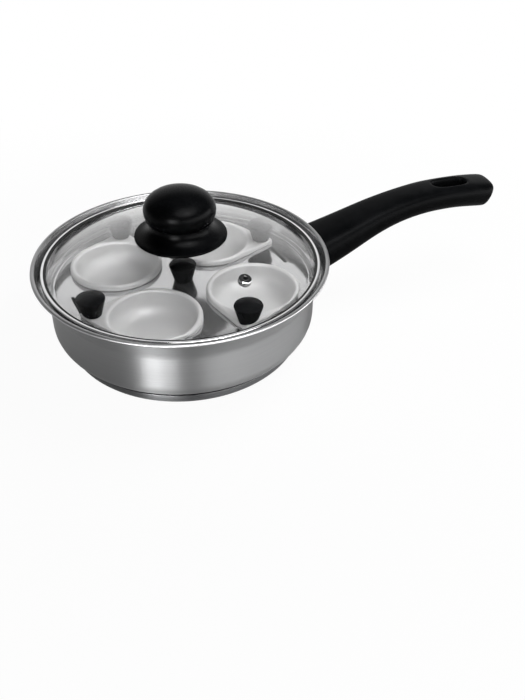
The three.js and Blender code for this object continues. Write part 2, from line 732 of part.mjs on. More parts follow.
function lidGlass() {
  const reach = GLASS_THICKNESS * 2;
  const ventHole = rod(VENT_TUBE_RADIUS + GAP, -reach, reach).applyMatrix4(ventFrame);
  return cut(glassDome(), ventHole);
}

function lidGasket() {
  const lipEnd = gasketOuter - GASKET_LIP;
  return turnedRing([
    [lipEnd, gasketBottom],
    [gasketOuter, gasketBottom],
    [gasketOuter, gasketTop],
    [lipEnd, gasketTop],
    [lipEnd, brimTop],
    [gasketOuter - GASKET_WALL, brimTop],
    [gasketOuter - GASKET_WALL, glassBottom],
    [lipEnd, glassBottom],
  ]);
}

function lidBand() {
  const flangeEnd = lidRadius - BAND_FLANGE;
  const top = gasketTop + BAND_SHEET;
  return turnedRing([
    [flangeEnd, lidBottom],
    [lidRadius, lidBottom],
    [lidRadius, top - BAND_SHEET],
    [lidRadius - BAND_SHEET, top],
    [flangeEnd, top],
    [flangeEnd, gasketTop],
    [lidRadius - BAND_SHEET, gasketTop],
    [lidRadius - BAND_SHEET, gasketBottom],
    [flangeEnd, gasketBottom],
  ]);
}

addPiece(lid, 'lid_glass', lidGlass(), clearGlass);
addPiece(lid, 'lid_gasket', lidGasket(), silicone);
addPiece(lid, 'lid_band', lidBand(), polishedSteel);
addPiece(lid, 'vent_eyelet', ventEyelet(), polishedSteel);

// Lid knob: a flared skirt on the glass and a mushroom grip on the skirt, drawn down by a
// screw from under the glass into a threaded insert

function knobSkirt() {
  const foot = (r) => domeAt(r) + GAP;
  const edge = foot(SKIRT_RADIUS) + SKIRT_EDGE;
  const underside = [];
  for (let i = 0; i <= ARC_STEPS; i += 1) {
    const r = screwPlayRadius + ((SKIRT_RADIUS - screwPlayRadius) * i) / ARC_STEPS;
    underside.push([r, foot(r)]);
  }
  const flank = arc([SKIRT_RADIUS, skirtFoot], [SKIRT_RADIUS - NECK_RADIUS, skirtFoot - edge], -90, -180);
  return turnedRing([...underside, ...flank, [screwPlayRadius, skirtFoot]], KNOB_FACETS);
}

function knobGrip() {
  const widest = skirtFoot + GRIP_LOWER;
  const hole = INSERT_RADIUS + GAP;
  const holeTop = skirtFoot + INSERT_LENGTH + GAP;
  const waist = arc([NECK_RADIUS, widest], [GRIP_RADIUS - NECK_RADIUS, GRIP_LOWER], -90, 0);
  const crown = arc([0, widest], [GRIP_RADIUS, GRIP_UPPER], 0, 90, ARC_STEPS + 2).slice(1);
  return turned([
    [hole, skirtFoot],
    ...waist,
    ...crown,
    [0, holeTop],
    [hole, holeTop],
    [hole, skirtFoot],
  ], KNOB_FACETS);
}

function knobInsert() {
  return turnedRing([
    [screwPlayRadius, skirtFoot],
    [INSERT_RADIUS, skirtFoot],
    [INSERT_RADIUS, skirtFoot + INSERT_LENGTH],
    [screwPlayRadius, skirtFoot + INSERT_LENGTH],
  ], SMALL_FACETS);
}

const collarRadius = glassHole - GAP;
const sealBottom = sealTop - SEAL_THICKNESS;
const washerBottom = sealBottom - WASHER_THICKNESS;

function knobSeal() {
  return turnedRing([
    [screwPlayRadius, sealBottom],
    [SEAL_RADIUS, sealBottom],
    [SEAL_RADIUS, sealTop],
    [collarRadius, sealTop],
    [collarRadius, domeAt(collarRadius)],
    [screwPlayRadius, domeAt(collarRadius)],
  ], SMALL_FACETS);
}

function knobWasher() {
  return turnedRing([
    [screwPlayRadius, washerBottom],
    [WASHER_RADIUS, washerBottom],
    [WASHER_RADIUS, sealBottom],
    [screwPlayRadius, sealBottom],
  ], SMALL_FACETS);
}

function lidScrew() {
  const headBottom = washerBottom - LID_SCREW_HEAD_HEIGHT;
  const tip = skirtFoot + LID_SCREW_BITE;
  return turned([
    [0, headBottom],
    [LID_SCREW_HEAD_RADIUS, headBottom],
    [LID_SCREW_HEAD_RADIUS, washerBottom],
    [LID_SCREW_RADIUS, washerBottom],
    [LID_SCREW_RADIUS, tip],
    [0, tip],
  ], SMALL_FACETS);
}

addPiece(lid, 'lid_knob_skirt', knobSkirt(), blackPhenolic);
addPiece(lid, 'lid_knob', knobGrip(), blackPhenolic);
addPiece(lid, 'lid_knob_insert', knobInsert(), brass);
addPiece(lid, 'lid_knob_seal', knobSeal(), silicone);
addPiece(lid, 'lid_knob_washer', knobWasher(), polishedSteel);
addPiece(lid, 'lid_knob_screw', lidScrew(), polishedSteel);

export default object;
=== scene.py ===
# %% [markdown]
# # An egg poacher pan in steel, glass and black moulding
# The pan arrives as faceted solids at their real size: shell, tray, cups, knobs and lid.
# This lesson dresses them. Each piece that shows is modelled again with smooth edges in the
# same place, gets a finish made of nodes, and rides on the body that carries it.

# %% Load the frame
import math
import bmesh
import bpy
from mathutils import Matrix, Quaternion, Vector


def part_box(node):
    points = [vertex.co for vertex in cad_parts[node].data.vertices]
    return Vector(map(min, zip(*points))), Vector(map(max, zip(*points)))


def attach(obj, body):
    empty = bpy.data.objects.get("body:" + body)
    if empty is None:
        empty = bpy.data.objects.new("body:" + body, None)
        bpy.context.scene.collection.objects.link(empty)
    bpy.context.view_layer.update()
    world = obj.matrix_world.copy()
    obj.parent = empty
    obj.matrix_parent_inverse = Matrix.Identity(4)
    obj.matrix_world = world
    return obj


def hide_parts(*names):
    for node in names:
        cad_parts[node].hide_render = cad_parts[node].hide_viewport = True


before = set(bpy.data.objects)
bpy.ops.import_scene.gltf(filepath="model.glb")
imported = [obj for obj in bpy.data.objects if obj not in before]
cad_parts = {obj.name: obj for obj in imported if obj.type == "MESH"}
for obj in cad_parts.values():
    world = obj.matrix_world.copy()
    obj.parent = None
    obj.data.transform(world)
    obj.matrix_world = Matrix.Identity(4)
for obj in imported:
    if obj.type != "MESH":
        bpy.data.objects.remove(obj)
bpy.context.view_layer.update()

MM = 0.001
scene = bpy.context.scene
scene.view_settings.view_transform = "Standard"

# %% [markdown]
# ## The camera
# The oval of the rim gives the height of the eye, the handle gives the turn, and the spread
# of the base against the rim gives the distance. The optical axis lies a little above the
# middle of the picture, which a small vertical shift says without tilting the camera.

# %% Place the camera
CAMERA_PLACE = Vector((-128.4, -430.2, 335.7)) * MM
CAMERA_AHEAD = Vector((0.3388, 0.7609, -0.5534))
CAMERA_ROLL = math.radians(0.98)
CAMERA_LENS = 37.5
CAMERA_SHIFT = -0.09

bpy.ops.object.camera_add(location=CAMERA_PLACE)
camera = bpy.context.object
camera_turn = CAMERA_AHEAD.to_track_quat("-Z", "Y") @ Quaternion((0, 0, 1), CAMERA_ROLL)
camera.rotation_euler = camera_turn.to_euler()
camera.data.lens = CAMERA_LENS
camera.data.shift_y = CAMERA_SHIFT
scene.camera = camera
print("camera stands", round(CAMERA_PLACE.length, 3), "m from the base")

# %% [markdown]
# ## A helper for nodes
# A node tree in code is easier to read when one call adds a node, sets it up and plugs it
# in. An input that is given a socket is linked, and any other value is typed in.

# %% Node helper


def node(tree, kind, inputs=None, **settings):
    """Add a node, set its options, and link or fill its inputs."""
    made = tree.nodes.new(kind)
    for key, value in settings.items():
        setattr(made, key, value)
    for key, value in (inputs or {}).items():
        if isinstance(value, bpy.types.NodeSocket):
            tree.links.new(value, made.inputs[key])
        else:
            made.inputs[key].default_value = value
    return made


def math_node(tree, operation, first, second):
    """One sum of two numbers or sockets."""
    made = node(tree, "ShaderNodeMath", {0: first, 1: second}, operation=operation)
    return made.outputs[0]


print("node helpers are ready")

# %% [markdown]
# ## The studio
# Steel and glass show the room more than themselves, so the room matters. Here it is a white
# sweep behind the pan and a darker side behind the camera, with a dark ceiling that comes
# lower on the right and keeps the glass clear there. The camera sees plain white everywhere,
# also where it looks level through the glass.

# %% World
AWAY = Vector((CAMERA_AHEAD.x, CAMERA_AHEAD.y, 0)).normalized()
RIGHT = Vector((AWAY.y, -AWAY.x, 0))
WORLD_FRONT = 0.10
WORLD_BACK = 1.1
WORLD_CEILING = 0.05
WORLD_SIDE = 0.65
FRONT_TO_BACK = (-0.35, 0.75)
WALL_TO_CEILING = (0.5, 0.8)
RIGHT_CEILING = 0.6
LEVEL_GLANCE = (0.1, 0.35)


def ramp(tree, value, span, low, high):
    """Smooth change from low to high while the value crosses the span."""
    made = node(tree, "ShaderNodeMapRange", {
        "Value": value, "From Min": span[0], "From Max": span[1],
        "To Min": low, "To Max": high}, interpolation_type="SMOOTHSTEP")
    return made.outputs["Result"]


def studio_world():
    tree = scene.world.node_tree
    tree.nodes.clear()
    direction = node(tree, "ShaderNodeTexCoord").outputs["Generated"]
    away = node(tree, "ShaderNodeVectorMath", {0: direction, 1: AWAY}, operation="DOT_PRODUCT")
    right = node(tree, "ShaderNodeVectorMath", {0: direction, 1: RIGHT}, operation="DOT_PRODUCT")
    height = node(tree, "ShaderNodeSeparateXYZ", {0: direction}).outputs["Z"]
    side = math_node(tree, "MULTIPLY", right.outputs["Value"], WORLD_SIDE)
    facing = math_node(tree, "ADD", away.outputs["Value"], side)
    wall = ramp(tree, facing, FRONT_TO_BACK, WORLD_FRONT, WORLD_BACK)
    path = node(tree, "ShaderNodeLightPath")
    bare = math_node(tree, "SUBTRACT", 1.0, path.outputs["Is Transmission Ray"])
    drop = math_node(tree, "MAXIMUM", right.outputs["Value"], 0.0)
    drop = math_node(tree, "MULTIPLY", drop, math_node(tree, "MULTIPLY", bare, RIGHT_CEILING))
    lift = math_node(tree, "ADD", height, drop)
    ceiling = ramp(tree, lift, WALL_TO_CEILING, 1.0, WORLD_CEILING)
    room = node(tree, "ShaderNodeBackground", {
        "Color": math_node(tree, "MULTIPLY", wall, ceiling), "Strength": 1.0})
    white = node(tree, "ShaderNodeBackground", {"Color": (1, 1, 1, 1), "Strength": 1.0})
    level = ramp(tree, height, LEVEL_GLANCE, 1.0, 0.0)
    through = math_node(tree, "MULTIPLY", path.outputs["Is Transmission Ray"], level)
    seen = math_node(tree, "MAXIMUM", path.outputs["Is Camera Ray"], through)
    mixed = node(tree, "ShaderNodeMixShader", {0: seen, 1: room.outputs[0], 2: white.outputs[0]})
    node(tree, "ShaderNodeOutputWorld", {"Surface": mixed.outputs[0]})


scene.world = bpy.data.worlds.new("studio")
scene.world.use_nodes = True
studio_world()
print("world: white wall, darker front")

# %% [markdown]
# ## The floor
# A pale sheet of paper carries the shadow. Most of its white comes from the paper itself, so
# that it stays white in the picture. Steel mirrors that white too, but close to the pan it
# mirrors a dimmer paper, as if in the pan's own shade, which darkens the belly.

# %% Floor
FLOOR_SIZE = 8.0
FLOOR_DROP = 0.2 * MM
FLOOR_PAPER = (0.88, 0.93)
FLOOR_FIBRE = 900.0
FLOOR_GLOW = 0.96
FLOOR_FADE = (0.14, 0.5)
MIRROR_GLOW = 0.31
MIRROR_FADE = (0.09, 0.36)

bpy.ops.object.select_all(action="DESELECT")
bpy.ops.mesh.primitive_plane_add(size=FLOOR_SIZE, location=(0, 0, -FLOOR_DROP))
floor = bpy.context.object
floor.name = "floor"


def paper_material():
    material = bpy.data.materials.new("paper")
    material.use_nodes = True
    tree = material.node_tree
    tree.nodes.clear()
    place = node(tree, "ShaderNodeTexCoord").outputs["Object"]
    fibre = node(tree, "ShaderNodeTexNoise", {
        "Vector": place, "Scale": FLOOR_FIBRE, "Detail": 4.0})
    tone = ramp(tree, fibre.outputs[0], (0.2, 0.8), *FLOOR_PAPER)
    paper = node(tree, "ShaderNodeBsdfDiffuse", {"Color": tone})
    path = node(tree, "ShaderNodeLightPath")
    mirrored = path.outputs["Is Glossy Ray"]
    reach = node(tree, "ShaderNodeVectorMath", {0: place}, operation="LENGTH").outputs["Value"]
    shade = ramp(tree, reach, MIRROR_FADE, 1.0 - MIRROR_GLOW, 0.0)
    dimmed = math_node(tree, "MULTIPLY", mirrored, shade)
    strength = math_node(tree, "SUBTRACT", 1.0, dimmed)
    glow = node(tree, "ShaderNodeEmission", {"Color": (1, 1, 1, 1), "Strength": strength})
    seen = math_node(
        tree, "MAXIMUM", path.outputs["Is Camera Ray"], path.outputs["Is Transmission Ray"])
    seen = math_node(tree, "MULTIPLY", seen, ramp(tree, reach, FLOOR_FADE, FLOOR_GLOW, 1.0))
    share = math_node(tree, "MAXIMUM", seen, mirrored)
    mixed = node(tree, "ShaderNodeMixShader", {0: share, 1: paper.outputs[0], 2: glow.outputs[0]})
    node(tree, "ShaderNodeOutputMaterial", {"Surface": mixed.outputs[0]})
    return material


floor.data.materials.append(paper_material())
print("floor:", FLOOR_SIZE, "m of paper")

# %% [markdown]
# ## The lamps
# A soft box hangs close, above on the right, for the matt surfaces, and stays out of every
# mirror image. The other lamps only show in mirrors. Two narrow ones stand beside the camera,
# one brighter than the other, and draw the stepped upright band on the brushed wall. A wide
# one on the right lifts the wall there. A large oval one above leaves soft light in the cups,
# and a small one leaves the glints on the knobs.

# %% Lamps


def lamp(name, turn, lift, distance, size, watts, mirrored=True, lit=True, shape="RECTANGLE"):
    """Area lamp aimed at the base. It is turned right of the camera and lifted by degrees."""
    turn, lift = math.radians(turn), math.radians(lift)
    level = -AWAY * math.cos(turn) + RIGHT * math.sin(turn)
    place = (level * math.cos(lift) + Vector((0, 0, math.sin(lift)))) * distance
    bpy.ops.object.light_add(type="AREA", location=place)
    made = bpy.context.object
    made.name = name
    made.rotation_euler = (-place).to_track_quat("-Z", "Y").to_euler()
    made.data.shape = shape
    made.data.size, made.data.size_y = size
    made.data.energy = watts
    made.visible_glossy = mirrored
    made.visible_diffuse = lit
    made.visible_transmission = False


lamp("soft_box", 106, 60, 0.5, (0.3, 0.25), 1.75, mirrored=False)
lamp("window_lamp", -18.5, 9, 1.0, (0.23, 0.45), 9.6, lit=False)
lamp("curtain_lamp", -6.4, 9, 1.0, (0.195, 0.45), 4.4, lit=False)
lamp("fill_lamp", 66, 9, 1.0, (2.2, 0.45), 20.0, lit=False)
lamp("overhead_lamp", 36, 60, 1.0, (0.9, 0.7), 11.5, lit=False, shape="ELLIPSE")
lamp("glint_lamp", 40, 56, 1.0, (0.12, 0.09), 1.3, lit=False, shape="ELLIPSE")

# %% [markdown]
# ## Effects that several finishes share
# An effect that several finishes need is a node group with named inputs, built once and placed
# in each material with its own values. The first two are lines: turned steel has fine ones
# around its axis, and use leaves short scratches on steel and mouldings.

# %% Lines and scratches
SCRATCH_TURNS = (25, -50)
SCRATCH_STRETCH = (1.0, 0.03, 1.0)


def effect(name, inputs):
    """Empty node group with a Place input, more number inputs, and one number output."""
    tree = bpy.data.node_groups.new(name, "ShaderNodeTree")
    tree.interface.new_socket("Place", in_out="INPUT", socket_type="NodeSocketVector")
    for label in inputs:
        tree.interface.new_socket(label, in_out="INPUT", socket_type="NodeSocketFloat")
    tree.interface.new_socket("Mask", in_out="OUTPUT", socket_type="NodeSocketFloat")
    return tree, node(tree, "NodeGroupInput")


def turned_lines():
    """Fine lines around the Z axis: rings on flats, hoops on walls."""
    tree, given = effect("turned_lines", ["Density", "Drift"])
    parts = node(tree, "ShaderNodeSeparateXYZ", {0: given.outputs["Place"]})
    flat = node(tree, "ShaderNodeCombineXYZ", {0: parts.outputs["X"], 1: parts.outputs["Y"]})
    radius = node(tree, "ShaderNodeVectorMath", {0: flat.outputs[0]}, operation="LENGTH")
    across = math_node(tree, "ADD", radius.outputs["Value"], parts.outputs["Z"])
    across = math_node(tree, "MULTIPLY", across, given.outputs["Density"])
    along_x = math_node(tree, "MULTIPLY", parts.outputs["X"], given.outputs["Drift"])
    along_y = math_node(tree, "MULTIPLY", parts.outputs["Y"], given.outputs["Drift"])
    thread = node(tree, "ShaderNodeCombineXYZ", {0: across, 1: along_x, 2: along_y})
    noise = node(tree, "ShaderNodeTexNoise", {
        "Vector": thread.outputs[0], "Scale": 1.0, "Detail": 4.0, "Roughness": 0.65})
    node(tree, "NodeGroupOutput", {"Mask": ramp(tree, noise.outputs[0], (0.25, 0.75), 0.0, 1.0)})
    return tree


def hairlines():
    """Short fine scratches in two directions."""
    tree, given = effect("hairlines", ["Scale"])
    marks = []
    for degrees in SCRATCH_TURNS:
        turned = node(tree, "ShaderNodeMapping", {
            "Vector": given.outputs["Place"], "Rotation": (0, 0, math.radians(degrees)),
            "Scale": SCRATCH_STRETCH})
        noise = node(tree, "ShaderNodeTexNoise", {
            "Vector": turned.outputs[0], "Scale": given.outputs["Scale"], "Detail": 1.0})
        marks.append(ramp(tree, noise.outputs[0], (0.68, 0.74), 0.0, 1.0))
    node(tree, "NodeGroupOutput", {"Mask": math_node(tree, "MAXIMUM", marks[0], marks[1])})
    return tree


print("line effects: turned lines and scratches")

# %% [markdown]
# ## Patches, grain and specks
# Handled metal has faint clouds, moulded pieces have a fine grain, and a coating has specks.
# Clouds and grain are noise, slow or fine, and the specks are dots in a net of random cells.

# %% Patches, grain and specks


def clouds():
    """Slow uneven patches, as wiping and washing leave them."""
    tree, given = effect("clouds", ["Scale"])
    noise = node(tree, "ShaderNodeTexNoise", {
        "Vector": given.outputs["Place"], "Scale": given.outputs["Scale"], "Detail": 5.0,
        "Roughness": 0.6, "Distortion": 0.4})
    node(tree, "NodeGroupOutput", {"Mask": ramp(tree, noise.outputs[0], (0.3, 0.7), 0.0, 1.0)})
    return tree


def fine_grain():
    """Even grain of a moulding or a sprayed coat."""
    tree, given = effect("fine_grain", ["Scale"])
    noise = node(tree, "ShaderNodeTexNoise", {
        "Vector": given.outputs["Place"], "Scale": given.outputs["Scale"], "Detail": 3.0})
    node(tree, "NodeGroupOutput", {"Mask": ramp(tree, noise.outputs[0], (0.3, 0.7), 0.0, 1.0)})
    return tree


def specks():
    """Small dots in some of the cells of a random net."""
    tree, given = effect("specks", ["Scale", "Share"])
    cells = node(tree, "ShaderNodeTexVoronoi", {
        "Vector": given.outputs["Place"], "Scale": given.outputs["Scale"]})
    pick = node(tree, "ShaderNodeSeparateColor", {0: cells.outputs["Color"]}).outputs[0]
    chosen = math_node(tree, "LESS_THAN", pick, given.outputs["Share"])
    dot = ramp(tree, cells.outputs["Distance"], (0.15, 0.4), 1.0, 0.0)
    node(tree, "NodeGroupOutput", {"Mask": math_node(tree, "MULTIPLY", dot, chosen)})
    return tree


EFFECTS = {make.__name__: make() for make in (turned_lines, clouds, fine_grain, specks, hairlines)}
print("effects:", ", ".join(EFFECTS))

# %% [markdown]
# ## A helper for finishes
# Every finish starts from one Principled shader. What is even over the surface is typed on
# the shader's own sockets, and what varies comes from the effects above.

# %% Finish helper


class Finish:
    """A material under construction, with its shader and its place in the frame."""

    def __init__(self, name, **sockets):
        self.material = bpy.data.materials.new(name)
        self.material.use_nodes = True
        self.tree = self.material.node_tree
        self.tree.nodes.clear()
        self.shader = node(self.tree, "ShaderNodeBsdfPrincipled")
        for key, value in sockets.items():
            self.shader.inputs[key.replace("_", " ")].default_value = value
        self.output = node(self.tree, "ShaderNodeOutputMaterial", {0: self.shader.outputs[0]})
        self.place = node(self.tree, "ShaderNodeTexCoord").outputs["Object"]

    def mask(self, name, **values):
        """One of the effects, with its own values."""
        inputs = {"Place": self.place, **values}
        made = node(self.tree, "ShaderNodeGroup", inputs, node_tree=EFFECTS[name])
        return made.outputs["Mask"]

    def blend(self, mask, first, second):
        """Colour that goes from the first to the second as the mask rises."""
        inputs = {"Factor": mask, 6: (*first, 1), 7: (*second, 1)}
        return node(self.tree, "ShaderNodeMix", inputs, data_type="RGBA").outputs[2]

    def weigh(self, base, *terms):
        """Base plus each mask times its share."""
        total = base
        for mask, share in terms:
            part = math_node(self.tree, "MULTIPLY", mask, share)
            total = math_node(self.tree, "ADD", total, part)
        return total

    def use(self, **links):
        """Link sockets to the shader's inputs of those names."""
        for key, socket in links.items():
            self.tree.links.new(socket, self.shader.inputs[key.replace("_", " ")])

    def bump(self, height, depth, strength):
        """Relief from a mask, so deep in metres."""
        made = node(self.tree, "ShaderNodeBump", {
            "Height": height, "Distance": depth, "Strength": strength})
        self.tree.links.new(made.outputs[0], self.shader.inputs["Normal"])


print("finishes can be made")

# %% [markdown]
# ## Steel
# The outside of the pan is brushed around its axis. Brushed lines smear a reflection across
# themselves, so the shader is anisotropic and its tangent runs round Z, turned a quarter so
# that lights become upright bands. The cap of the base has darker greys, painted shade for the
# dark floor that it mirrors under the pan. The tray, the inside of the pan and the lid's band
# are polished instead, with a faint haze, the rolled lip is satin, and the fasteners are plain.

# %% Steel finishes
QUARTER_TURN = 0.25
BRUSHED_CAST = (0.0, 0.002, 0.006)
POLISHED_CAST = (0.0, 0.0, 0.005)
# The second pair of greys, for the base cap, is painted shade: the dark floor the cap mirrors
# under the pan.
BRUSHED = {"satin_steel": (0.29, 0.33), "shade_painted_base_steel": (0.15, 0.19)}
POLISHED = {
    "mirror_steel": (0.94, 30.0, (1400.0, 7.0), (0.60, 0.66), (0.09, 0.05, 0.03, 0.06)),
    "band_steel": (1.0, 45.0, (3200.0, 12.0), (0.68, 0.76), (0.07, 0.04, 0.06)),
    "lip_steel": (1.0, 40.0, (2400.0, 9.0), (0.36, 0.42), (0.34, 0.06, 0.08)),
    "inner_steel": (0.88, 32.0, (1800.0, 8.0), (0.46, 0.54), (0.10, 0.05, 0.04)),
}


def steel_tones(greys, cast):
    """Two greys with the faint blue of steel."""
    return [tuple(grey + part for part in cast) for grey in greys]


def brushed(name, greys):
    """Steel with lines around Z that stretch lights into upright bands."""
    made = Finish(name, Metallic=1.0, Anisotropic=0.95, Anisotropic_Rotation=QUARTER_TURN)
    lines = made.mask("turned_lines", Density=2600.0, Drift=9.0)
    patches = made.mask("clouds", Scale=22.0)
    made.use(
        Base_Color=made.blend(lines, *steel_tones(greys, BRUSHED_CAST)),
        Roughness=made.weigh(0.32, (lines, 0.04), (patches, 0.03)))
    made.bump(lines, 0.003 * MM, 0.25)
    tangent = node(made.tree, "ShaderNodeTangent", direction_type="RADIAL", axis="Z")
    made.tree.links.new(tangent.outputs[0], made.shader.inputs["Tangent"])
    return made.material


def polished(name, metallic, cloud_scale, thread, greys, haze):
    """Smooth steel. Its haze is a base and shares for clouds, turned lines and scratches."""
    made = Finish(name, Metallic=metallic)
    patches = made.mask("clouds", Scale=cloud_scale)
    masks = [patches, made.mask("turned_lines", Density=thread[0], Drift=thread[1])]
    if len(haze) > 3:
        masks.append(made.mask("hairlines", Scale=260.0))
    made.use(
        Base_Color=made.blend(patches, *steel_tones(greys, POLISHED_CAST)),
        Roughness=made.weigh(haze[0], *zip(masks, haze[1:])))
    return made.material


def fastener_steel():
    made = Finish("fastener_steel", Metallic=1.0)
    grain = made.mask("fine_grain", Scale=2500.0)
    patches = made.mask("clouds", Scale=120.0)
    made.use(
        Base_Color=made.blend(patches, (0.42, 0.42, 0.43), (0.56, 0.56, 0.57)),
        Roughness=made.weigh(0.26, (grain, 0.12), (patches, 0.06)))
    made.bump(grain, 0.01 * MM, 0.4)
    return made.material


STEEL = {name: brushed(name, greys) for name, greys in BRUSHED.items()}
STEEL |= {name: polished(name, *values) for name, values in POLISHED.items()}
STEEL["fastener_steel"] = fastener_steel()
print("steel finishes:", ", ".join(STEEL))

# %% [markdown]
# ## Coating and black mouldings
# The cups have a pale grey non-stick coat over aluminium: matt, a little metallic, with a
# fine orange peel. The knobs and the handle are black phenolic mouldings, glossier on the
# knobs. One function makes the three blacks, with a sheen, a haze and a depth of grain.

# %% Coating and mouldings


def cup_coating():
    made = Finish("cup_coating", Metallic=0.2, Specular_IOR_Level=0.5)
    grain = made.mask("fine_grain", Scale=1500.0)
    patches = made.mask("clouds", Scale=35.0)
    dots = made.mask("specks", Scale=1100.0, Share=0.12)
    made.use(
        Base_Color=made.blend(dots, (0.60, 0.60, 0.60), (0.49, 0.49, 0.49)),
        Roughness=made.weigh(0.36, (grain, 0.08), (patches, 0.06)))
    made.bump(grain, 0.03 * MM, 0.35)
    return made.material


def black_moulding(name, sheen, haze, peel):
    made = Finish(name, Specular_IOR_Level=sheen)
    grain = made.mask("fine_grain", Scale=1800.0)
    patches = made.mask("clouds", Scale=60.0)
    scratches = made.mask("hairlines", Scale=380.0)
    made.use(
        Base_Color=made.blend(patches, (0.0025, 0.0028, 0.0032), (0.005, 0.0053, 0.006)),
        Roughness=made.weigh(haze, (grain, 0.05), (patches, 0.05), (scratches, 0.08)))
    made.bump(grain, peel, 0.3)
    return made.material


coating = cup_coating()
gloss_black = black_moulding("gloss_black", 0.045, 0.12, 0.008 * MM)
grip_black = black_moulding("grip_black", 0.028, 0.22, 0.008 * MM)
satin_black = black_moulding("satin_black", 0.02, 0.32, 0.015 * MM)
print("coating and mouldings are made")

# %% [markdown]
# ## Rubber and the inner metals
# Rubber and brass hardly show, and the aluminium of the base only as a line in its groove,
# where its near-black colour is painted shade. Still they all get their own grain.

# %% Rubber, brass and aluminium


def silicone_rubber():
    made = Finish("silicone_rubber", Specular_IOR_Level=0.35)
    grain = made.mask("fine_grain", Scale=900.0)
    made.use(
        Base_Color=made.blend(grain, (0.006, 0.006, 0.006), (0.014, 0.014, 0.014)),
        Roughness=made.weigh(0.5, (grain, 0.18)))
    made.bump(grain, 0.03 * MM, 0.5)
    return made.material


def turned_brass():
    made = Finish("turned_brass", Metallic=1.0)
    lines = made.mask("turned_lines", Density=3000.0, Drift=20.0)
    made.use(
        Base_Color=made.blend(lines, (0.55, 0.39, 0.15), (0.70, 0.52, 0.24)),
        Roughness=made.weigh(0.24, (lines, 0.14)))
    return made.material


# Near-black greys: painted shade that darkens the groove between the base cap and the belly.
def groove_shade_aluminium():
    made = Finish("groove_shade_aluminium", Metallic=0.5, Specular_IOR_Level=0.3)
    grain = made.mask("fine_grain", Scale=700.0)
    patches = made.mask("clouds", Scale=40.0)
    made.use(
        Base_Color=made.blend(patches, (0.016, 0.016, 0.016), (0.03, 0.03, 0.031)),
        Roughness=made.weigh(0.6, (grain, 0.14)))
    made.bump(grain, 0.02 * MM, 0.4)
    return made.material


rubber = silicone_rubber()
brass = turned_brass()
aluminium = groove_shade_aluminium()
print("rubber and inner metals are made")

# %% [markdown]
# ## Glass
# Clear tempered glass bends and mirrors, and both are left to the shader. Lamps must reach
# the cups below, so a shadow ray meets a clear shader in place of the glass. Faint wiping
# marks keep the gloss from being perfect.

# %% Glass finish


def clear_glass():
    made = Finish(
        "clear_glass", Base_Color=(0.985, 0.985, 0.985, 1), Transmission_Weight=1.0, IOR=1.47)
    wiping = made.mask("clouds", Scale=26.0)
    made.use(Roughness=made.weigh(0.0, (wiping, 0.025)))
    clear = node(made.tree, "ShaderNodeBsdfTransparent", {"Color": (0.95, 0.95, 0.95, 1)})
    path = node(made.tree, "ShaderNodeLightPath")
    mixed = node(made.tree, "ShaderNodeMixShader", {
        0: path.outputs["Is Shadow Ray"], 1: made.shader.outputs[0], 2: clear.outputs[0]})
    made.tree.links.new(mixed.outputs[0], made.output.inputs["Surface"])
    return made.material


glass = clear_glass()
print("glass is made")

# %% [markdown]
# ## Outlines with soft edges
# Most of this object is round, so most of it starts as half an outline beside the Z axis. An
# outline is a list of corners, each with its rounding, so that every edge has the soft radius
# that pressed steel and mouldings have. Longer curves are arcs of an oval.

# %% Outline helpers
ARC_STEP = math.radians(12)


def rounded(corners):
    """Points of an outline through corners of (radius, height, rounding)."""
    points = []
    for i, (across, height, rounding) in enumerate(corners):
        corner = Vector((across, height))
        if rounding == 0:
            points.append(corner)
            continue
        back = (Vector(corners[i - 1][:2]) - corner).normalized()
        onward = (Vector(corners[(i + 1) % len(corners)][:2]) - corner).normalized()
        half = back.angle(onward) / 2
        middle = corner + (back + onward).normalized() * rounding / math.sin(half)
        spoke = corner + back * rounding / math.tan(half) - middle
        sweep = math.pi - 2 * half
        side = 1 if back.cross(onward) < 0 else -1
        steps = math.ceil(sweep / ARC_STEP)
        for k in range(steps + 1):
            points.append(middle + Matrix.Rotation(side * sweep * k / steps, 2) @ spoke)
    return points


def oval(centre, radii, start, end):
    """Points of an elliptical arc, its angles in degrees."""
    steps = math.ceil(abs(math.radians(end - start)) / ARC_STEP)
    points = []
    for k in range(steps + 1):
        angle = math.radians(start + (end - start) * k / steps)
        points.append(Vector((centre[0] + radii[0] * math.cos(angle),
                              centre[1] + radii[1] * math.sin(angle))))
    return points


print("outlines: arcs in steps of", round(math.degrees(ARC_STEP)), "degrees at most")

# %% [markdown]
# ## Turning pieces on a lathe
# A round piece is turned as on a lathe: a point is extruded along the outline, and the
# outline is spun about Z. The spin ends where it began, so doubles are merged there, and the
# normals are recalculated afterwards because a spin can leave a shape inside out.

# %% Lathe
WELD = 1e-6
SMOOTH_ANGLE = math.radians(35)
LARGE_STEPS = 144
SMALL_STEPS = 64


def start_clean():
    """Deselect everything, so that an operator meets the new piece alone."""
    bpy.ops.object.select_all(action="DESELECT")


def close_mesh(piece):
    """Merge doubles, turn all faces outwards and leave edit mode."""
    bpy.ops.mesh.select_all(action="SELECT")
    bpy.ops.mesh.remove_doubles(threshold=WELD)
    bpy.ops.mesh.normals_make_consistent(inside=False)
    bpy.ops.object.mode_set(mode="OBJECT")
    bpy.ops.object.shade_smooth_by_angle(angle=SMOOTH_ANGLE)
    return piece


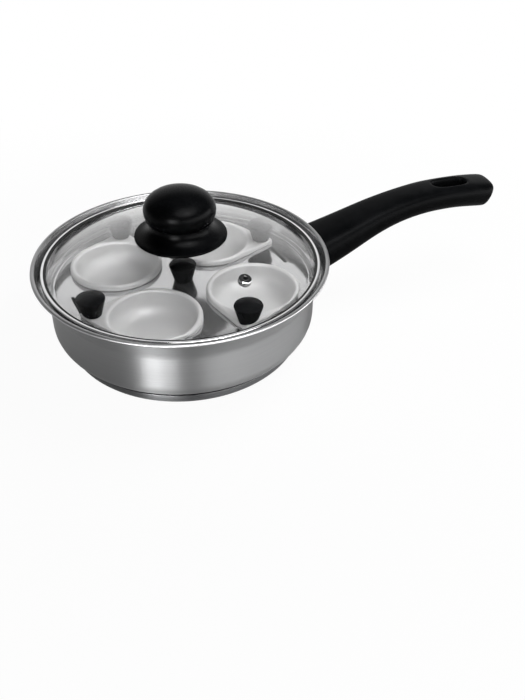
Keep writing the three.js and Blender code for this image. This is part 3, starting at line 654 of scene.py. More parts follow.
def turn(name, outline, steps=LARGE_STEPS, closed=False):
    """Spin an outline of millimetres about Z. A closed one goes back to its first point."""
    points = [Vector(point) * MM for point in outline]
    if closed:
        points.append(points[0])
    start_clean()
    bpy.ops.mesh.primitive_plane_add(size=MM)
    piece = bpy.context.object
    piece.name = name
    bpy.ops.object.mode_set(mode="EDIT")
    bpy.ops.mesh.select_mode(type="VERT")
    bpy.ops.mesh.select_all(action="SELECT")
    bpy.ops.mesh.merge(type="CENTER")
    bpy.ops.transform.translate(value=(points[0].x, 0, points[0].y))
    for here, there in zip(points, points[1:]):
        step = there - here
        bpy.ops.mesh.extrude_region_move(TRANSFORM_OT_translate={"value": (step.x, 0, step.y)})
    bpy.ops.mesh.select_all(action="SELECT")
    bpy.ops.mesh.remove_doubles(threshold=WELD)
    bpy.ops.mesh.spin(
        steps=steps, angle=math.tau, center=(0, 0, 0), axis=(0, 0, 1), use_auto_merge=True)
    return close_mesh(piece)


print("lathe:", LARGE_STEPS, "steps for large pieces,", SMALL_STEPS, "for small ones")

# %% [markdown]
# ## Moving, cutting and dressing
# A finished piece keeps its object at the origin and its place in its mesh, so that grain and
# lines stay where they belong. Copies get a mesh of their own, and openings are cut with the
# exact boolean, which also copes with faces that meet. Dressing a piece gives it its finish
# and ties it to the body that carries it.

# %% Bench helpers


def pick(piece):
    """Select one piece alone and make it the active one."""
    start_clean()
    piece.select_set(True)
    bpy.context.view_layer.objects.active = piece


def move(piece, matrix):
    """Move the mesh itself, so that the object stays at the origin."""
    piece.matrix_world = matrix
    pick(piece)
    bpy.ops.object.transform_apply(location=True, rotation=True, scale=True)
    return piece


def copy(piece, name):
    """Copy with a mesh of its own."""
    pick(piece)
    bpy.ops.object.duplicate(linked=False)
    made = bpy.context.object
    made.name = name
    return made


def carve(piece, *cutters):
    """Cut the cutters out of the piece and delete them."""
    pick(piece)
    for cutter in cutters:
        tool = piece.modifiers.new("cut", "BOOLEAN")
        tool.operation = "DIFFERENCE"
        tool.solver = "EXACT"
        tool.object = cutter
        bpy.ops.object.modifier_apply(modifier=tool.name)
        bpy.data.objects.remove(cutter)
    bpy.ops.object.shade_smooth_by_angle(angle=SMOOTH_ANGLE)
    return piece


def coat(piece, finish, test):
    """Give a finish to the faces whose middle and normal pass a test."""
    piece.data.materials.append(finish)
    for face in piece.data.polygons:
        if test(face.center / MM, face.normal):
            face.material_index = len(piece.data.materials) - 1


def dress(piece, finish, slot, body, *nodes):
    """Give a piece its finish, its body and the solids that it stands for."""
    piece.data.materials.clear()
    piece.data.materials.append(finish)
    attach(piece, body)
    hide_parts(*nodes)
    return piece


print("bench is ready")

# %% [markdown]
# ## The pan
# One sheet of steel, drawn deep: a rounded belly, an upright wall, a flared mouth and a lip
# that is rolled outwards. Turning the whole sheet, inside and outside, gives the wall its
# true thickness, which shows when the tray is lifted out.

# %% Pan shell
PAN_SHEET = 0.8
BELLY = 13.5
FLARE_HEIGHT = 16.5
FLARE_WIDTH = 8.0
FLARE_BEND = 14.0
LIP_WIDTH = 2.8
LIP_HEIGHT = 2.2
LIP_SWEEP = (-90, 170)
FACING_UP = 0.5

pan_low, pan_high = (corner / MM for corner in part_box("pan_body"))
rim_radius = pan_high.x
wall_inner = rim_radius - FLARE_WIDTH - LIP_WIDTH
wall_outer = wall_inner + PAN_SHEET
flare_start = pan_high.z - FLARE_HEIGHT
lip_centre = (rim_radius - LIP_WIDTH / 2, pan_high.z - LIP_HEIGHT / 2)
flare_end = wall_inner + FLARE_WIDTH

pan_outside = [
    (0, pan_low.z, 0),
    (wall_outer, pan_low.z, BELLY),
    (wall_outer, flare_start, FLARE_BEND),
    (flare_end, lip_centre[1] - LIP_HEIGHT / 2, 0),
]
pan_inside = [
    (flare_end, lip_centre[1], 0),
    (wall_inner, flare_start, FLARE_BEND),
    (wall_inner, pan_low.z + PAN_SHEET, BELLY - PAN_SHEET),
    (0, pan_low.z + PAN_SHEET, 0),
]
lip = oval(lip_centre, (LIP_WIDTH / 2, LIP_HEIGHT / 2), *LIP_SWEEP)
pan_outline = rounded(pan_outside) + lip + rounded(pan_inside)
pan = dress(turn("pan_shell", pan_outline), STEEL["satin_steel"], "steel_satin", "pan", "pan_body")


def on_inside(middle, normal):
    outwards = Vector((middle.x, middle.y, 0)).dot(normal)
    return middle.z > pan_low.z + PAN_SHEET / 2 and (outwards < 0 or normal.z > FACING_UP)


coat(pan, STEEL["inner_steel"], on_inside)
coat(pan, STEEL["lip_steel"], lambda middle, normal: middle.z > lip_centre[1] - LIP_HEIGHT / 2)
print("pan shell:", len(pan.data.polygons), "faces, rim", round(2 * rim_radius, 1), "mm")

# %% [markdown]
# ## The capsule base
# A thin steel cap closes in the aluminium disc that spreads the heat. Its edge is widely
# rounded, and a dark groove stays between it and the belly.

# %% Base cap
CAP_SHEET = 0.6
CAP_EDGE = 10.0
SHEET_EDGE = 1 / 3

cap_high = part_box("base_cap")[1] / MM
cap_outline = rounded([
    (0, 0, 0),
    (cap_high.x, 0, CAP_EDGE),
    (cap_high.x, cap_high.z, CAP_SHEET * SHEET_EDGE),
    (cap_high.x - CAP_SHEET, cap_high.z, CAP_SHEET * SHEET_EDGE),
    (cap_high.x - CAP_SHEET, CAP_SHEET, CAP_EDGE - CAP_SHEET),
    (0, CAP_SHEET, 0),
])
# The cap's darker brushed steel is painted shade.
dress(turn("capsule_cap", cap_outline), STEEL["shade_painted_base_steel"], "steel_satin", "pan", "base_cap")
print("base:", round(2 * cap_high.x, 1), "mm across")

# %% [markdown]
# ## The handle
# The handle is a soft moulding, so it is grown as a cage of sections with twelve corners, one
# section at each station along its length. The sizes of a station are read from the solid,
# and only the slanted end and the root inside the pan's wall are drawn on from there.

# %% Sections of the handle
HANDLE_SECTION = [
    (0.55, 1.04), (0.93, 0.83), (1.06, 0.15), (0.98, -0.55), (0.72, -0.97), (0.42, -1.05)]
HANDLE_REACH = [16, 28, 42, 56, 72, 88, 103, 113, 131, 149, 160, 165, 168]
HANDLE_END_TAPER = {165: 0.97, 168: 0.82}
HANDLE_END_LEAN = {160: 1.5, 165: 3.3, 168: 4.0}
HANDLE_MEASURED = 160
HANDLE_SLOPE_REACH = 10
HANDLE_END_SKEW = 0.6
ROOT_REACH = -6


def slice_handle(x):
    """Middle height, half width and half thickness of the handle's solid at a distance."""
    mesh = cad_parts["handle"].data
    heights, widths = [], []
    for edge in mesh.edges:
        a, b = (mesh.vertices[i].co / MM for i in edge.vertices)
        if (a.x - x) * (b.x - x) < 0:
            cut_point = a.lerp(b, (x - a.x) / (b.x - a.x))
            heights.append(cut_point.z)
            widths.append(abs(cut_point.y))
    top, bottom = max(heights), min(heights)
    return Vector(((top + bottom) / 2, max(widths), (top - bottom) / 2))


def handle_stations():
    """Distance and sizes of each section, the root drawn on in a straight line."""
    stations = []
    last = wall_outer + HANDLE_MEASURED
    end_rise = slice_handle(last)[0] - slice_handle(last - HANDLE_SLOPE_REACH)[0]
    for reach in HANDLE_REACH:
        size = slice_handle(wall_outer + min(reach, HANDLE_MEASURED))
        if reach > HANDLE_MEASURED:
            size[0] += end_rise * (reach - HANDLE_MEASURED) / HANDLE_SLOPE_REACH
            size[1] *= HANDLE_END_TAPER[reach]
            size[2] *= HANDLE_END_TAPER[reach]
        stations.append((reach, size))
    (near, near_size), (far, far_size) = stations[:2]
    slope = (far_size - near_size) / (far - near)
    return [(ROOT_REACH, near_size + slope * (ROOT_REACH - near))] + stations


def handle_ring(reach, size):
    middle, half_width, half_thickness = size
    lean = HANDLE_END_LEAN.get(reach, 0)
    left = [(-y, z) for y, z in reversed(HANDLE_SECTION)]
    return [Vector((wall_outer + reach + (z + y * HANDLE_END_SKEW) * lean,
                    y * half_width, middle + z * half_thickness)) * MM
            for y, z in HANDLE_SECTION + left]


handle_rings = [handle_ring(*station) for station in handle_stations()]
print("handle:", len(handle_rings), "sections")

# %% [markdown]
# ## Growing the handle
# The first section is extruded from station to station. For the hang hole, the faces above
# and below it are inset and deleted, and the two open edges are bridged. A subdivision
# surface then rounds it all, as a moulding tool would.

# %% Grow the handle
HOLE_REACH = (113, 149)
HOLE_LIP = 2.2
HOLE_MIDDLE = 1.0
UPRIGHT = 0.9
HANDLE_SOFTNESS = 3


def place_ring(piece, ring):
    """Move the selected corners, in their own order, to the points of a ring."""
    net = bmesh.from_edit_mesh(piece.data)
    for corner, point in zip([v for v in net.verts if v.select], ring):
        corner.co = point
    bmesh.update_edit_mesh(piece.data)


def grow(name, rings, fill):
    """Extrude a circle of corners from ring to ring, and stay in edit mode."""
    start_clean()
    bpy.ops.mesh.primitive_circle_add(vertices=len(rings[0]), radius=MM, fill_type=fill)
    piece = bpy.context.object
    piece.name = name
    bpy.ops.object.mode_set(mode="EDIT")
    bpy.ops.mesh.select_mode(type="VERT")
    bpy.ops.mesh.select_all(action="SELECT")
    place_ring(piece, rings[0])
    for ring in rings[1:]:
        bpy.ops.mesh.extrude_region_move()
        place_ring(piece, ring)
    return piece


def pick_faces(piece, test):
    """Select the faces whose middle and normal pass a test."""
    bpy.ops.mesh.select_mode(type="FACE")
    bpy.ops.mesh.select_all(action="DESELECT")
    net = bmesh.from_edit_mesh(piece.data)
    for face in net.faces:
        face.select_set(bool(test(face.calc_center_median() / MM, face.normal)))
    bmesh.update_edit_mesh(piece.data)


def on_hole(middle, normal):
    central = abs(middle.y) < HOLE_MIDDLE
    within = HOLE_REACH[0] < middle.x - wall_outer < HOLE_REACH[1]
    return central and within and abs(normal.z) > UPRIGHT


def make_handle():
    piece = grow("handle_grip", handle_rings, "NGON")
    bpy.ops.mesh.select_all(action="SELECT")
    bpy.ops.mesh.normals_make_consistent(inside=False)
    pick_faces(piece, on_hole)
    bpy.ops.mesh.inset(thickness=HOLE_LIP * MM)
    bpy.ops.mesh.delete(type="FACE")
    bpy.ops.mesh.select_mode(type="EDGE")
    bpy.ops.mesh.select_all(action="DESELECT")
    bpy.ops.mesh.select_non_manifold()
    bpy.ops.mesh.bridge_edge_loops()
    bpy.ops.mesh.select_all(action="SELECT")
    bpy.ops.mesh.normals_make_consistent(inside=False)
    bpy.ops.object.mode_set(mode="OBJECT")
    soft = piece.modifiers.new("soft", "SUBSURF")
    soft.levels = soft.render_levels = HANDLE_SOFTNESS
    bpy.ops.object.modifier_apply(modifier=soft.name)
    bpy.ops.object.shade_smooth()
    return piece


handle = make_handle()
print("handle:", len(handle.data.polygons), "faces before it is trimmed")

# %% [markdown]
# ## Fitting the handle to the wall
# The root of a real handle follows the round wall with a hair of play. Cutting away the space
# of the pan, a gap larger than its wall, gives the same fit.

# %% Trim the root
WALL_GAP = 0.3


def pan_cutter():
    """The space of the pan, a gap larger than its wall."""
    return turn("pan_space", rounded([
        (0, 0, 0),
        (wall_outer + WALL_GAP, 0, 0),
        (wall_outer + WALL_GAP, flare_start, FLARE_BEND),
        (flare_end + WALL_GAP, lip_centre[1] - LIP_HEIGHT / 2, 0),
        (rim_radius + WALL_GAP, lip_centre[1] - LIP_HEIGHT / 2, 0),
        (rim_radius + WALL_GAP, pan_high.z + BELLY, 0),
        (0, pan_high.z + BELLY, 0),
    ]))


carve(handle, pan_cutter())
dress(handle, satin_black, "phenolic_black", "pan", "handle")
print("handle:", len(handle.data.polygons), "faces")

# %% [markdown]
# ## Screws
# Every screw has a cross in its head. One function turns the screw upside down at the
# origin, with the seat of its head at height 0, and cuts the cross with two thin bars.

# %% Screws
CROSS_WIDTH = 0.28
CROSS_LENGTH = 1.15
CROSS_DEPTH = 0.45
HEAD_EDGE = 0.2
SHANK_TIP = 1 / 3


def screw(name, shank, length, head, head_height, cone):
    """Cross-head screw along +Z. The cone is the height of the head's taper above the seat."""
    piece = turn(name, rounded([
        (0, -head_height, 0),
        (head, -head_height, head_height * HEAD_EDGE),
        (head, 0, 0),
        (shank, cone, 0),
        (shank, length, shank * SHANK_TIP),
        (0, length, 0),
    ]), SMALL_STEPS)
    bars = []
    for wide, deep in ((CROSS_WIDTH, CROSS_LENGTH), (CROSS_LENGTH, CROSS_WIDTH)):
        start_clean()
        bpy.ops.mesh.primitive_cube_add(size=1)
        bar = bpy.context.object
        size = Vector((head * wide, head * deep, head_height * CROSS_DEPTH * 2)) * MM
        move(bar, Matrix.LocRotScale(Vector((0, 0, -head_height * MM)), None, size))
        bars.append(bar)
    return carve(piece, *bars)


KNOB_SCREW = 1.5
KNOB_SCREW_HEAD = 3.4
KNOB_SCREW_HEAD_HEIGHT = 1.9
print("screws: one function for all heads")

# %% [markdown]
# ## Small knobs
# Five tapered knobs with a slightly domed top are alike, so one is turned and copied. Each
# copy goes to the place of its solid, and its screw comes up from below.

# %% Small knobs
KNOB_HEIGHT = 15.0
KNOB_FOOT = 6.4
KNOB_TOP = 10.0
KNOB_SHOULDER = 12.7
KNOB_HOLE = 1.8
KNOB_HOLE_DEPTH = 9.0
KNOB_FOOT_EDGE = 0.5
KNOB_TOP_EDGE = 1.1
KNOB_DOME_DROP = 0.35
KNOB_DOME_BEND = 9.0

knob_outline = rounded([
    (KNOB_HOLE, 0, 0),
    (KNOB_FOOT, 0, KNOB_FOOT_EDGE),
    (KNOB_TOP, KNOB_SHOULDER, KNOB_TOP_EDGE),
    (KNOB_TOP / 2, KNOB_HEIGHT - KNOB_DOME_DROP, KNOB_DOME_BEND),
    (0, KNOB_HEIGHT, 0),
    (0, KNOB_HOLE_DEPTH, 0),
    (KNOB_HOLE, KNOB_HOLE_DEPTH, 0),
])


def seat_of(name):
    """Middle of a node's foot."""
    low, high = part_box(name)
    return Vector(((low.x + high.x) / 2, (low.y + high.y) / 2, low.z))


first_knob = turn("small_knob", knob_outline, SMALL_STEPS, closed=True)
KNOBS = {"tray_knob": "tray_unit", **{f"cup_knob_{i}": f"cup_unit_{i}" for i in range(1, 5)}}
for name, body in KNOBS.items():
    knob = copy(first_knob, name.replace("knob", "button"))
    move(knob, Matrix.Translation(seat_of(name)))
    dress(knob, gloss_black, "phenolic_black", body, name)
bpy.data.objects.remove(first_knob)
print("small knobs:", len(KNOBS))

# %% [markdown]
# ## The tray
# The tray is a drawn dish that hangs in the pan's flare, so its flange leans as the flare
# does. It is turned whole, with a hole in the middle where the screw of its knob comes up.

# %% Tray
TRAY_SHEET = 0.8
TRAY_CORNER = 3.0
TRAY_DEPTH = 5.0
TRAY_FLANGE_BEND = 2.0
TRAY_SCREW_LENGTH = 8.1

tray_low, tray_high = (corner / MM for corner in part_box("tray"))
tray_floor = tray_low.z + TRAY_SHEET
flange_out = tray_high.x
flange_bend = tray_floor + TRAY_DEPTH
flare_slope = FLARE_WIDTH / (lip_centre[1] - flare_start)
tray_wall = flange_out - (tray_high.z - flange_bend) * flare_slope

tray_outline = rounded([
    (KNOB_HOLE, tray_low.z, 0),
    (tray_wall, tray_low.z, TRAY_CORNER),
    (tray_wall, flange_bend, TRAY_FLANGE_BEND),
    (flange_out, tray_high.z, 0),
    (flange_out - TRAY_SHEET, tray_high.z, 0),
    (tray_wall - TRAY_SHEET, flange_bend, TRAY_FLANGE_BEND),
    (tray_wall - TRAY_SHEET, tray_floor, TRAY_CORNER - TRAY_SHEET),
    (KNOB_HOLE, tray_floor, 0),
])
tray = turn("drawn_tray", tray_outline, closed=True)
tray_screw_seat = seat_of("tray_knob_screw") + Vector((0, 0, KNOB_SCREW_HEAD_HEIGHT * MM))
tray_screw = screw(
    "tray_screw", KNOB_SCREW, TRAY_SCREW_LENGTH, KNOB_SCREW_HEAD, KNOB_SCREW_HEAD_HEIGHT, 0)
move(tray_screw, Matrix.Translation(tray_screw_seat))
dress(tray_screw, STEEL["fastener_steel"], "steel_fastener", "tray_unit", "tray_knob_screw")
print("tray:", round(2 * flange_out, 1), "mm across its flange")

# %% [markdown]
# ## Stamping the tray
# Four round holes carry the cups, and a narrow slot with round ends beside each lets the
# steam up. Each opening has a cutter of its own, a cylinder or a bar with bevelled ends.

# %% Stamp the tray
STAMP_DEPTH = 4.0
CUP_COUNT = 4
CUP_CIRCLE = 52.96
CUP_HOLE = 30.63
FIRST_CUP_ANGLE = -40.3
SLOT_LENGTH = 24.5
SLOT_WIDTH = 2.5
SLOT_CIRCLE = 77.96
SLOT_ANGLE = -46.0
SLOT_END_SHARE = 0.49
SLOT_END_STEPS = 8


def ring_place(radius, angle, height):
    """Point on a circle about Z, the angle in degrees."""
    turned = math.radians(angle)
    return Vector((radius * math.cos(turned), radius * math.sin(turned), height)) * MM


def punch(radius, depth, steps, place):
    """Round cutter at a place."""
    start_clean()
    bpy.ops.mesh.primitive_cylinder_add(vertices=steps, radius=radius * MM, depth=depth * MM)
    return move(bpy.context.object, place)


def cup_hole(angle):
    place = Matrix.Translation(ring_place(CUP_CIRCLE, angle, tray_floor))
    return punch(CUP_HOLE, STAMP_DEPTH, LARGE_STEPS, place)


def steam_slot(angle):
    """Bar with round ends: a box whose four upright edges are bevelled right round."""
    start_clean()
    bpy.ops.mesh.primitive_cube_add(size=1)
    bar = bpy.context.object
    move(bar, Matrix.Diagonal((SLOT_LENGTH * MM, SLOT_WIDTH * MM, STAMP_DEPTH * MM, 1)))
    bpy.ops.object.mode_set(mode="EDIT")
    bpy.ops.mesh.select_mode(type="EDGE")
    bpy.ops.mesh.select_all(action="DESELECT")
    net = bmesh.from_edit_mesh(bar.data)
    for edge in net.edges:
        along = (edge.verts[0].co - edge.verts[1].co).normalized()
        edge.select_set(abs(along.z) > UPRIGHT)
    bmesh.update_edit_mesh(bar.data)
    bpy.ops.mesh.bevel(offset=SLOT_END_SHARE * SLOT_WIDTH * MM, segments=SLOT_END_STEPS)
    bpy.ops.object.mode_set(mode="OBJECT")
    place = Matrix.Translation(ring_place(SLOT_CIRCLE, angle, tray_floor))
    return move(bar, place @ Matrix.Rotation(math.radians(angle + 90), 4, "Z"))


cup_angles = [FIRST_CUP_ANGLE + 360 / CUP_COUNT * i for i in range(CUP_COUNT)]
stamps = [cup_hole(angle) for angle in cup_angles]
stamps += [steam_slot(angle + SLOT_ANGLE) for angle in cup_angles]
carve(tray, *stamps)
dress(tray, STEEL["mirror_steel"], "steel_polished", "tray_unit", "tray")
print("tray:", len(tray.data.polygons), "faces,", len(stamps), "stamped openings")

# %% [markdown]
# ## The cups
# A cup is a round bowl with steep walls and a flat bottom, and its rolled rim is drawn out to
# a drop-shaped tab for its knob. The drop is a circle and a small circle at the tip, joined
# by two straight sides. A ring around the cup has more corners near the tab, where this
# outline turns fastest.

# %% Outline of a cup
CUP_RADIUS = 33.2
CUP_BOWL = 29.2
CUP_RIM = 2.0
CUP_RIM_HEIGHT = 4.2
TAB_REACH = 40.4
TAB_TIP = 2.4
TAB_TIP_REACH = 47.2
TAB_TOP = 3.25
RING_CORNERS = 160
TAB_CROWDING = 0.72


def ring_angles():
    """Turns of a ring's corners, crowded towards the tab."""
    steady = [math.tau * (k + 0.5) / RING_CORNERS - math.pi for k in range(RING_CORNERS)]
    return [turn_by - TAB_CROWDING * math.sin(turn_by) for turn_by in steady]


ANGLES = ring_angles()


def drop_edge(angle):
    """Distance from the cup's axis to the drop-shaped edge in a direction."""
    lean = math.acos((CUP_RADIUS - TAB_TIP) / TAB_TIP_REACH)
    tip_lean = math.atan2(TAB_TIP * math.sin(lean), TAB_TIP_REACH + TAB_TIP * math.cos(lean))
    turn_by = abs(angle)
    if turn_by > lean:
        return CUP_RADIUS
    if turn_by > tip_lean:
        return CUP_RADIUS / math.cos(lean - turn_by)
    across = TAB_TIP_REACH * math.sin(turn_by)
    return TAB_TIP_REACH * math.cos(turn_by) + math.sqrt(TAB_TIP ** 2 - across ** 2)


def smooth(value):
    value = min(max(value, 0.0), 1.0)
    return value * value * (3 - 2 * value)


def rim_top(reach):
    """Height of the rim or tab, lower where the tab carries its knob."""
    share = smooth((reach - CUP_RADIUS) / (TAB_REACH - KNOB_FOOT - CUP_BOWL))
    return CUP_RIM_HEIGHT + (TAB_TOP - CUP_RIM_HEIGHT) * share


print("cup: radius", CUP_RADIUS, "mm, tab to", round(drop_edge(0), 1), "mm")

# %% [markdown]
# ## The rings of a cup
# Round and drop don't share a lathe, so a cup is a row of rings: up the inside of the bowl,
# over the rim, out to the edge of the drop, down and back under to the bowl's outside. The
# bowl follows an oval that is fuller than a circle, which makes the walls steep.

# %% Rings of a cup
CUP_FULLNESS = 3.2
CUP_DEPTH = 19.0
CUP_SHEET = 1.2
BOWL_STEPS = 24
ROLL_STEPS = 6
TAB_STEPS = 5
CUP_FOOT_EDGE = [(0.0, 0.5), (0.15, 0.15), (0.5, 0.0)]


def ring_point(angle, reach, height):
    """Corner of a cup's ring in a direction from the cup's axis."""
    return Vector((reach * math.cos(angle), reach * math.sin(angle), height)) * MM


def drop_ring(inset, height_at):
    """Ring that follows the drop, an inset inside its edge."""
    return [ring_point(a, drop_edge(a) - inset, height_at(drop_edge(a))) for a in ANGLES]


def tab_ring(share):
    """Ring on the flat of the tab, between the crest of the rim and the edge of the drop."""
    crest = CUP_BOWL + CUP_RIM
    ring = []
    for a in ANGLES:
        reach = crest + (drop_edge(a) - CUP_RIM - crest) * share
        ring.append(ring_point(a, reach, rim_top(reach + CUP_RIM)))
    return ring


def circle_ring(radius, height):
    return [ring_point(a, radius, height) for a in ANGLES]


def bowl_rings(radius, depth, drop):
    """Rings of the bowl from its middle up to a drop below the rim, steep there, flat below."""
    power = 2 / CUP_FULLNESS
    last = math.acos((drop / depth) ** (1 / power))
    rings = []
    for k in range(1, BOWL_STEPS + 1):
        a = last * k / BOWL_STEPS
        rings.append(circle_ring(radius * math.sin(a) ** power,
                                 CUP_RIM_HEIGHT - depth * math.cos(a) ** power))
    return rings


def cup_rings():
    rings = bowl_rings(CUP_BOWL, CUP_DEPTH, CUP_RIM)
    for k in range(1, ROLL_STEPS):
        a = math.radians(180 - 90 * k / ROLL_STEPS)
        rings.append(circle_ring(CUP_BOWL + CUP_RIM + CUP_RIM * math.cos(a),
                                 CUP_RIM_HEIGHT - CUP_RIM + CUP_RIM * math.sin(a)))
    for k in range(TAB_STEPS):
        rings.append(tab_ring(k / TAB_STEPS))
    for k in range(ROLL_STEPS + 1):
        a = math.radians(90 - 90 * k / ROLL_STEPS)
        rise = CUP_RIM * (math.sin(a) - 1)
        rings.append(drop_ring(CUP_RIM * (1 - math.cos(a)), lambda reach: rim_top(reach) + rise))
    for inset, height in CUP_FOOT_EDGE:
        rings.append(drop_ring(inset, lambda reach: height))
    outside = bowl_rings(CUP_BOWL + CUP_SHEET, CUP_DEPTH + CUP_SHEET, CUP_RIM_HEIGHT)
    return rings + outside[::-1]


print("cup:", len(cup_rings()), "rings of", RING_CORNERS, "corners")

# %% [markdown]
# ## Growing a cup
# A circle is extruded from ring to ring, as the handle was. The first and the last ring are
# then drawn together into points, which closes the bowl inside and outside.

# %% Grow a cup


def close_end(piece, ring):
    """Draw one ring together into a point."""
    bpy.ops.mesh.select_all(action="DESELECT")
    net = bmesh.from_edit_mesh(piece.data)
    net.verts.ensure_lookup_table()
    for i in ring:
        net.verts[i].select_set(True)
    bmesh.update_edit_mesh(piece.data)
    bpy.ops.mesh.merge(type="CENTER")


def make_cup():
    rings = cup_rings()
    piece = grow("cup", rings, "NOTHING")
    close_end(piece, range(RING_CORNERS * (len(rings) - 1), RING_CORNERS * len(rings)))
    close_end(piece, range(RING_CORNERS))
    return close_mesh(piece)


first_cup = make_cup()
print("cup:", len(first_cup.data.polygons), "faces")

# %% [markdown]
# ## Seating the cups
# The tab gets a countersunk hole, and then the cup and its screw are copied to the four
# places. Each cup lies turned a little differently in its hole, so each tab has its own angle.

# %% Seat the cups
TAB_ANGLES = [-77, -69, -69, -74]
CUP_SCREW_LENGTH = 9.6
CUP_SCREW_RIM = 0.3
SCREW_PLAY = 0.3
SCREW_SPACE = (-1.0, 0.3, 2.2, 8.0)

cup_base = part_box("cup_1")[1].z / MM - CUP_RIM_HEIGHT


def screw_space():
    """Countersunk hole in the tab, a little larger than its screw."""
    wide, narrow = KNOB_SCREW_HEAD + SCREW_PLAY, KNOB_SCREW + SCREW_PLAY
    below, seat, taper, above = SCREW_SPACE
    hole = turn("screw_space", [
        (0, below), (wide, below), (wide, seat), (narrow, taper), (narrow, above), (0, above),
    ], SMALL_STEPS)
    return move(hole, Matrix.Translation(Vector((TAB_REACH, 0, 0)) * MM))


carve(first_cup, screw_space())
first_screw = screw(
    "knob_screw", KNOB_SCREW, CUP_SCREW_LENGTH, KNOB_SCREW_HEAD, CUP_SCREW_RIM,
    KNOB_SCREW_HEAD_HEIGHT)
for i, (angle, tab_angle) in enumerate(zip(cup_angles, TAB_ANGLES), start=1):
    body = f"cup_unit_{i}"
    place = Matrix.Translation(ring_place(CUP_CIRCLE, angle, cup_base))
    place @= Matrix.Rotation(math.radians(angle + tab_angle), 4, "Z")
    cup = move(copy(first_cup, f"egg_cup_{i}"), place)
    dress(cup, coating, "cup_coating", body, f"cup_{i}")
    seat = seat_of(f"cup_knob_screw_{i}") + Vector((0, 0, CUP_SCREW_RIM * MM))
    pin = move(copy(first_screw, f"button_screw_{i}"), Matrix.Translation(seat))
    dress(pin, STEEL["fastener_steel"], "steel_fastener", body, f"cup_knob_screw_{i}")
for spare in (first_cup, first_screw):
    bpy.data.objects.remove(spare)
print("cups:", CUP_COUNT)

# %% [markdown]
# ## The lid's glass
# The glass is a shallow dome with a flat brim. It is turned with its full thickness, because
# glass that bends light needs both faces, and two holes are left: one for the knob's screw
# and one for the steam vent.

# %% Lid glass
GLASS_THICKNESS = 3.0
GLASS_BRIM = 3.0
GLASS_EASE = 0.5
GLASS_EDGE = 1.0
GLASS_EDGE_SWEEP = (0, 60)
GLASS_HOLE = 4.0
DOME_STEPS = 40
VENT_CIRCLE = 63.7
VENT_ANGLE = -68.0
VENT_TUBE = 2.8
VENT_PLAY = 0.3
VENT_CUT = 16.0

glass_low, glass_high = (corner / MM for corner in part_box("lid_glass"))
glass_radius = glass_high.x
brim_top = glass_low.z + GLASS_THICKNESS
dome_radius = glass_radius - GLASS_BRIM
dome_rise = glass_high.z - brim_top
dome_sphere = (dome_radius ** 2 + dome_rise ** 2) / (2 * dome_rise)


def dome_at(radius):
    """Height of the glass's upper face, its foot eased into the brim."""
    height = dome_rise - dome_sphere + math.sqrt(dome_sphere ** 2 - radius ** 2)
    return brim_top + (height + math.hypot(height, GLASS_EASE)) / 2


def dome_line(radii, drop):
    return [Vector((radius, dome_at(radius) - drop)) for radius in radii]


def steps_between(first, last, count):
    """Evenly spaced values from the first to the last."""
    return [first + (last - first) * k / count for k in range(count + 1)]


spread = steps_between(GLASS_HOLE, glass_radius - GLASS_EDGE, DOME_STEPS)
edge_middle = (glass_radius - GLASS_EDGE, brim_top - GLASS_EDGE)
glass_outline = (
    dome_line(spread, GLASS_THICKNESS)
    + [Vector((glass_radius, glass_low.z + GLASS_EDGE))]
    + oval(edge_middle, (GLASS_EDGE, GLASS_EDGE), *GLASS_EDGE_SWEEP)
    + dome_line(reversed(spread), 0))
vent_lean = math.asin(VENT_CIRCLE / dome_sphere)
vent_place = (
    Matrix.Rotation(math.radians(VENT_ANGLE), 4, "Z")
    @ Matrix.Translation(Vector((VENT_CIRCLE, 0, dome_at(VENT_CIRCLE) - GLASS_THICKNESS / 2)) * MM)
    @ Matrix.Rotation(vent_lean, 4, "Y"))
vent_hole = punch(VENT_TUBE + VENT_PLAY, VENT_CUT, SMALL_STEPS, vent_place)
lid_glass = carve(turn("lid_dome", glass_outline, closed=True), vent_hole)
dress(lid_glass, glass, "lid_glass", "lid", "lid_glass")
print("glass:", len(lid_glass.data.polygons), "faces")

# %% [markdown]
# ## The lid's edge
# A black gasket grips the edge of the glass and a polished band grips the gasket. Both are
# channels, so one function draws their closed outlines.

# %% Band and gasket
BAND_SHEET = 0.5
BAND_FLANGE = 1.9
BAND_EDGE = 0.6
GASKET_WALL = 0.5
GASKET_LIP = 2.9
GASKET_EDGE = 0.6
INNER_EDGE = 0.6


def channel(low, high, radius, sheet, flange, edge):
    """C-shaped ring, open towards the axis."""
    return rounded([
        (radius - flange, low, 0),
        (radius, low, edge),
        (radius, high, edge),
        (radius - flange, high, sheet * SHEET_EDGE),
        (radius - flange, high - sheet, sheet * SHEET_EDGE),
        (radius - sheet, high - sheet, edge - sheet * INNER_EDGE),
        (radius - sheet, low + sheet, edge - sheet * INNER_EDGE),
        (radius - flange, low + sheet, 0),
    ])


band_low, band_high = (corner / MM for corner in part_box("lid_band"))
band = turn("lid_rim", channel(
    band_low.z, band_high.z, band_high.x, BAND_SHEET, BAND_FLANGE, BAND_EDGE), closed=True)
dress(band, STEEL["band_steel"], "steel_polished", "lid", "lid_band")
gasket_low, gasket_high = (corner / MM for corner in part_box("lid_gasket"))
gasket = turn("lid_seal_ring", channel(
    gasket_low.z, gasket_high.z, gasket_high.x, GASKET_WALL, GASKET_LIP, GASKET_EDGE), closed=True)
dress(gasket, rubber, "silicone_black", "lid", "lid_gasket")
print("band:", round(2 * band_high.x, 1), "mm across")
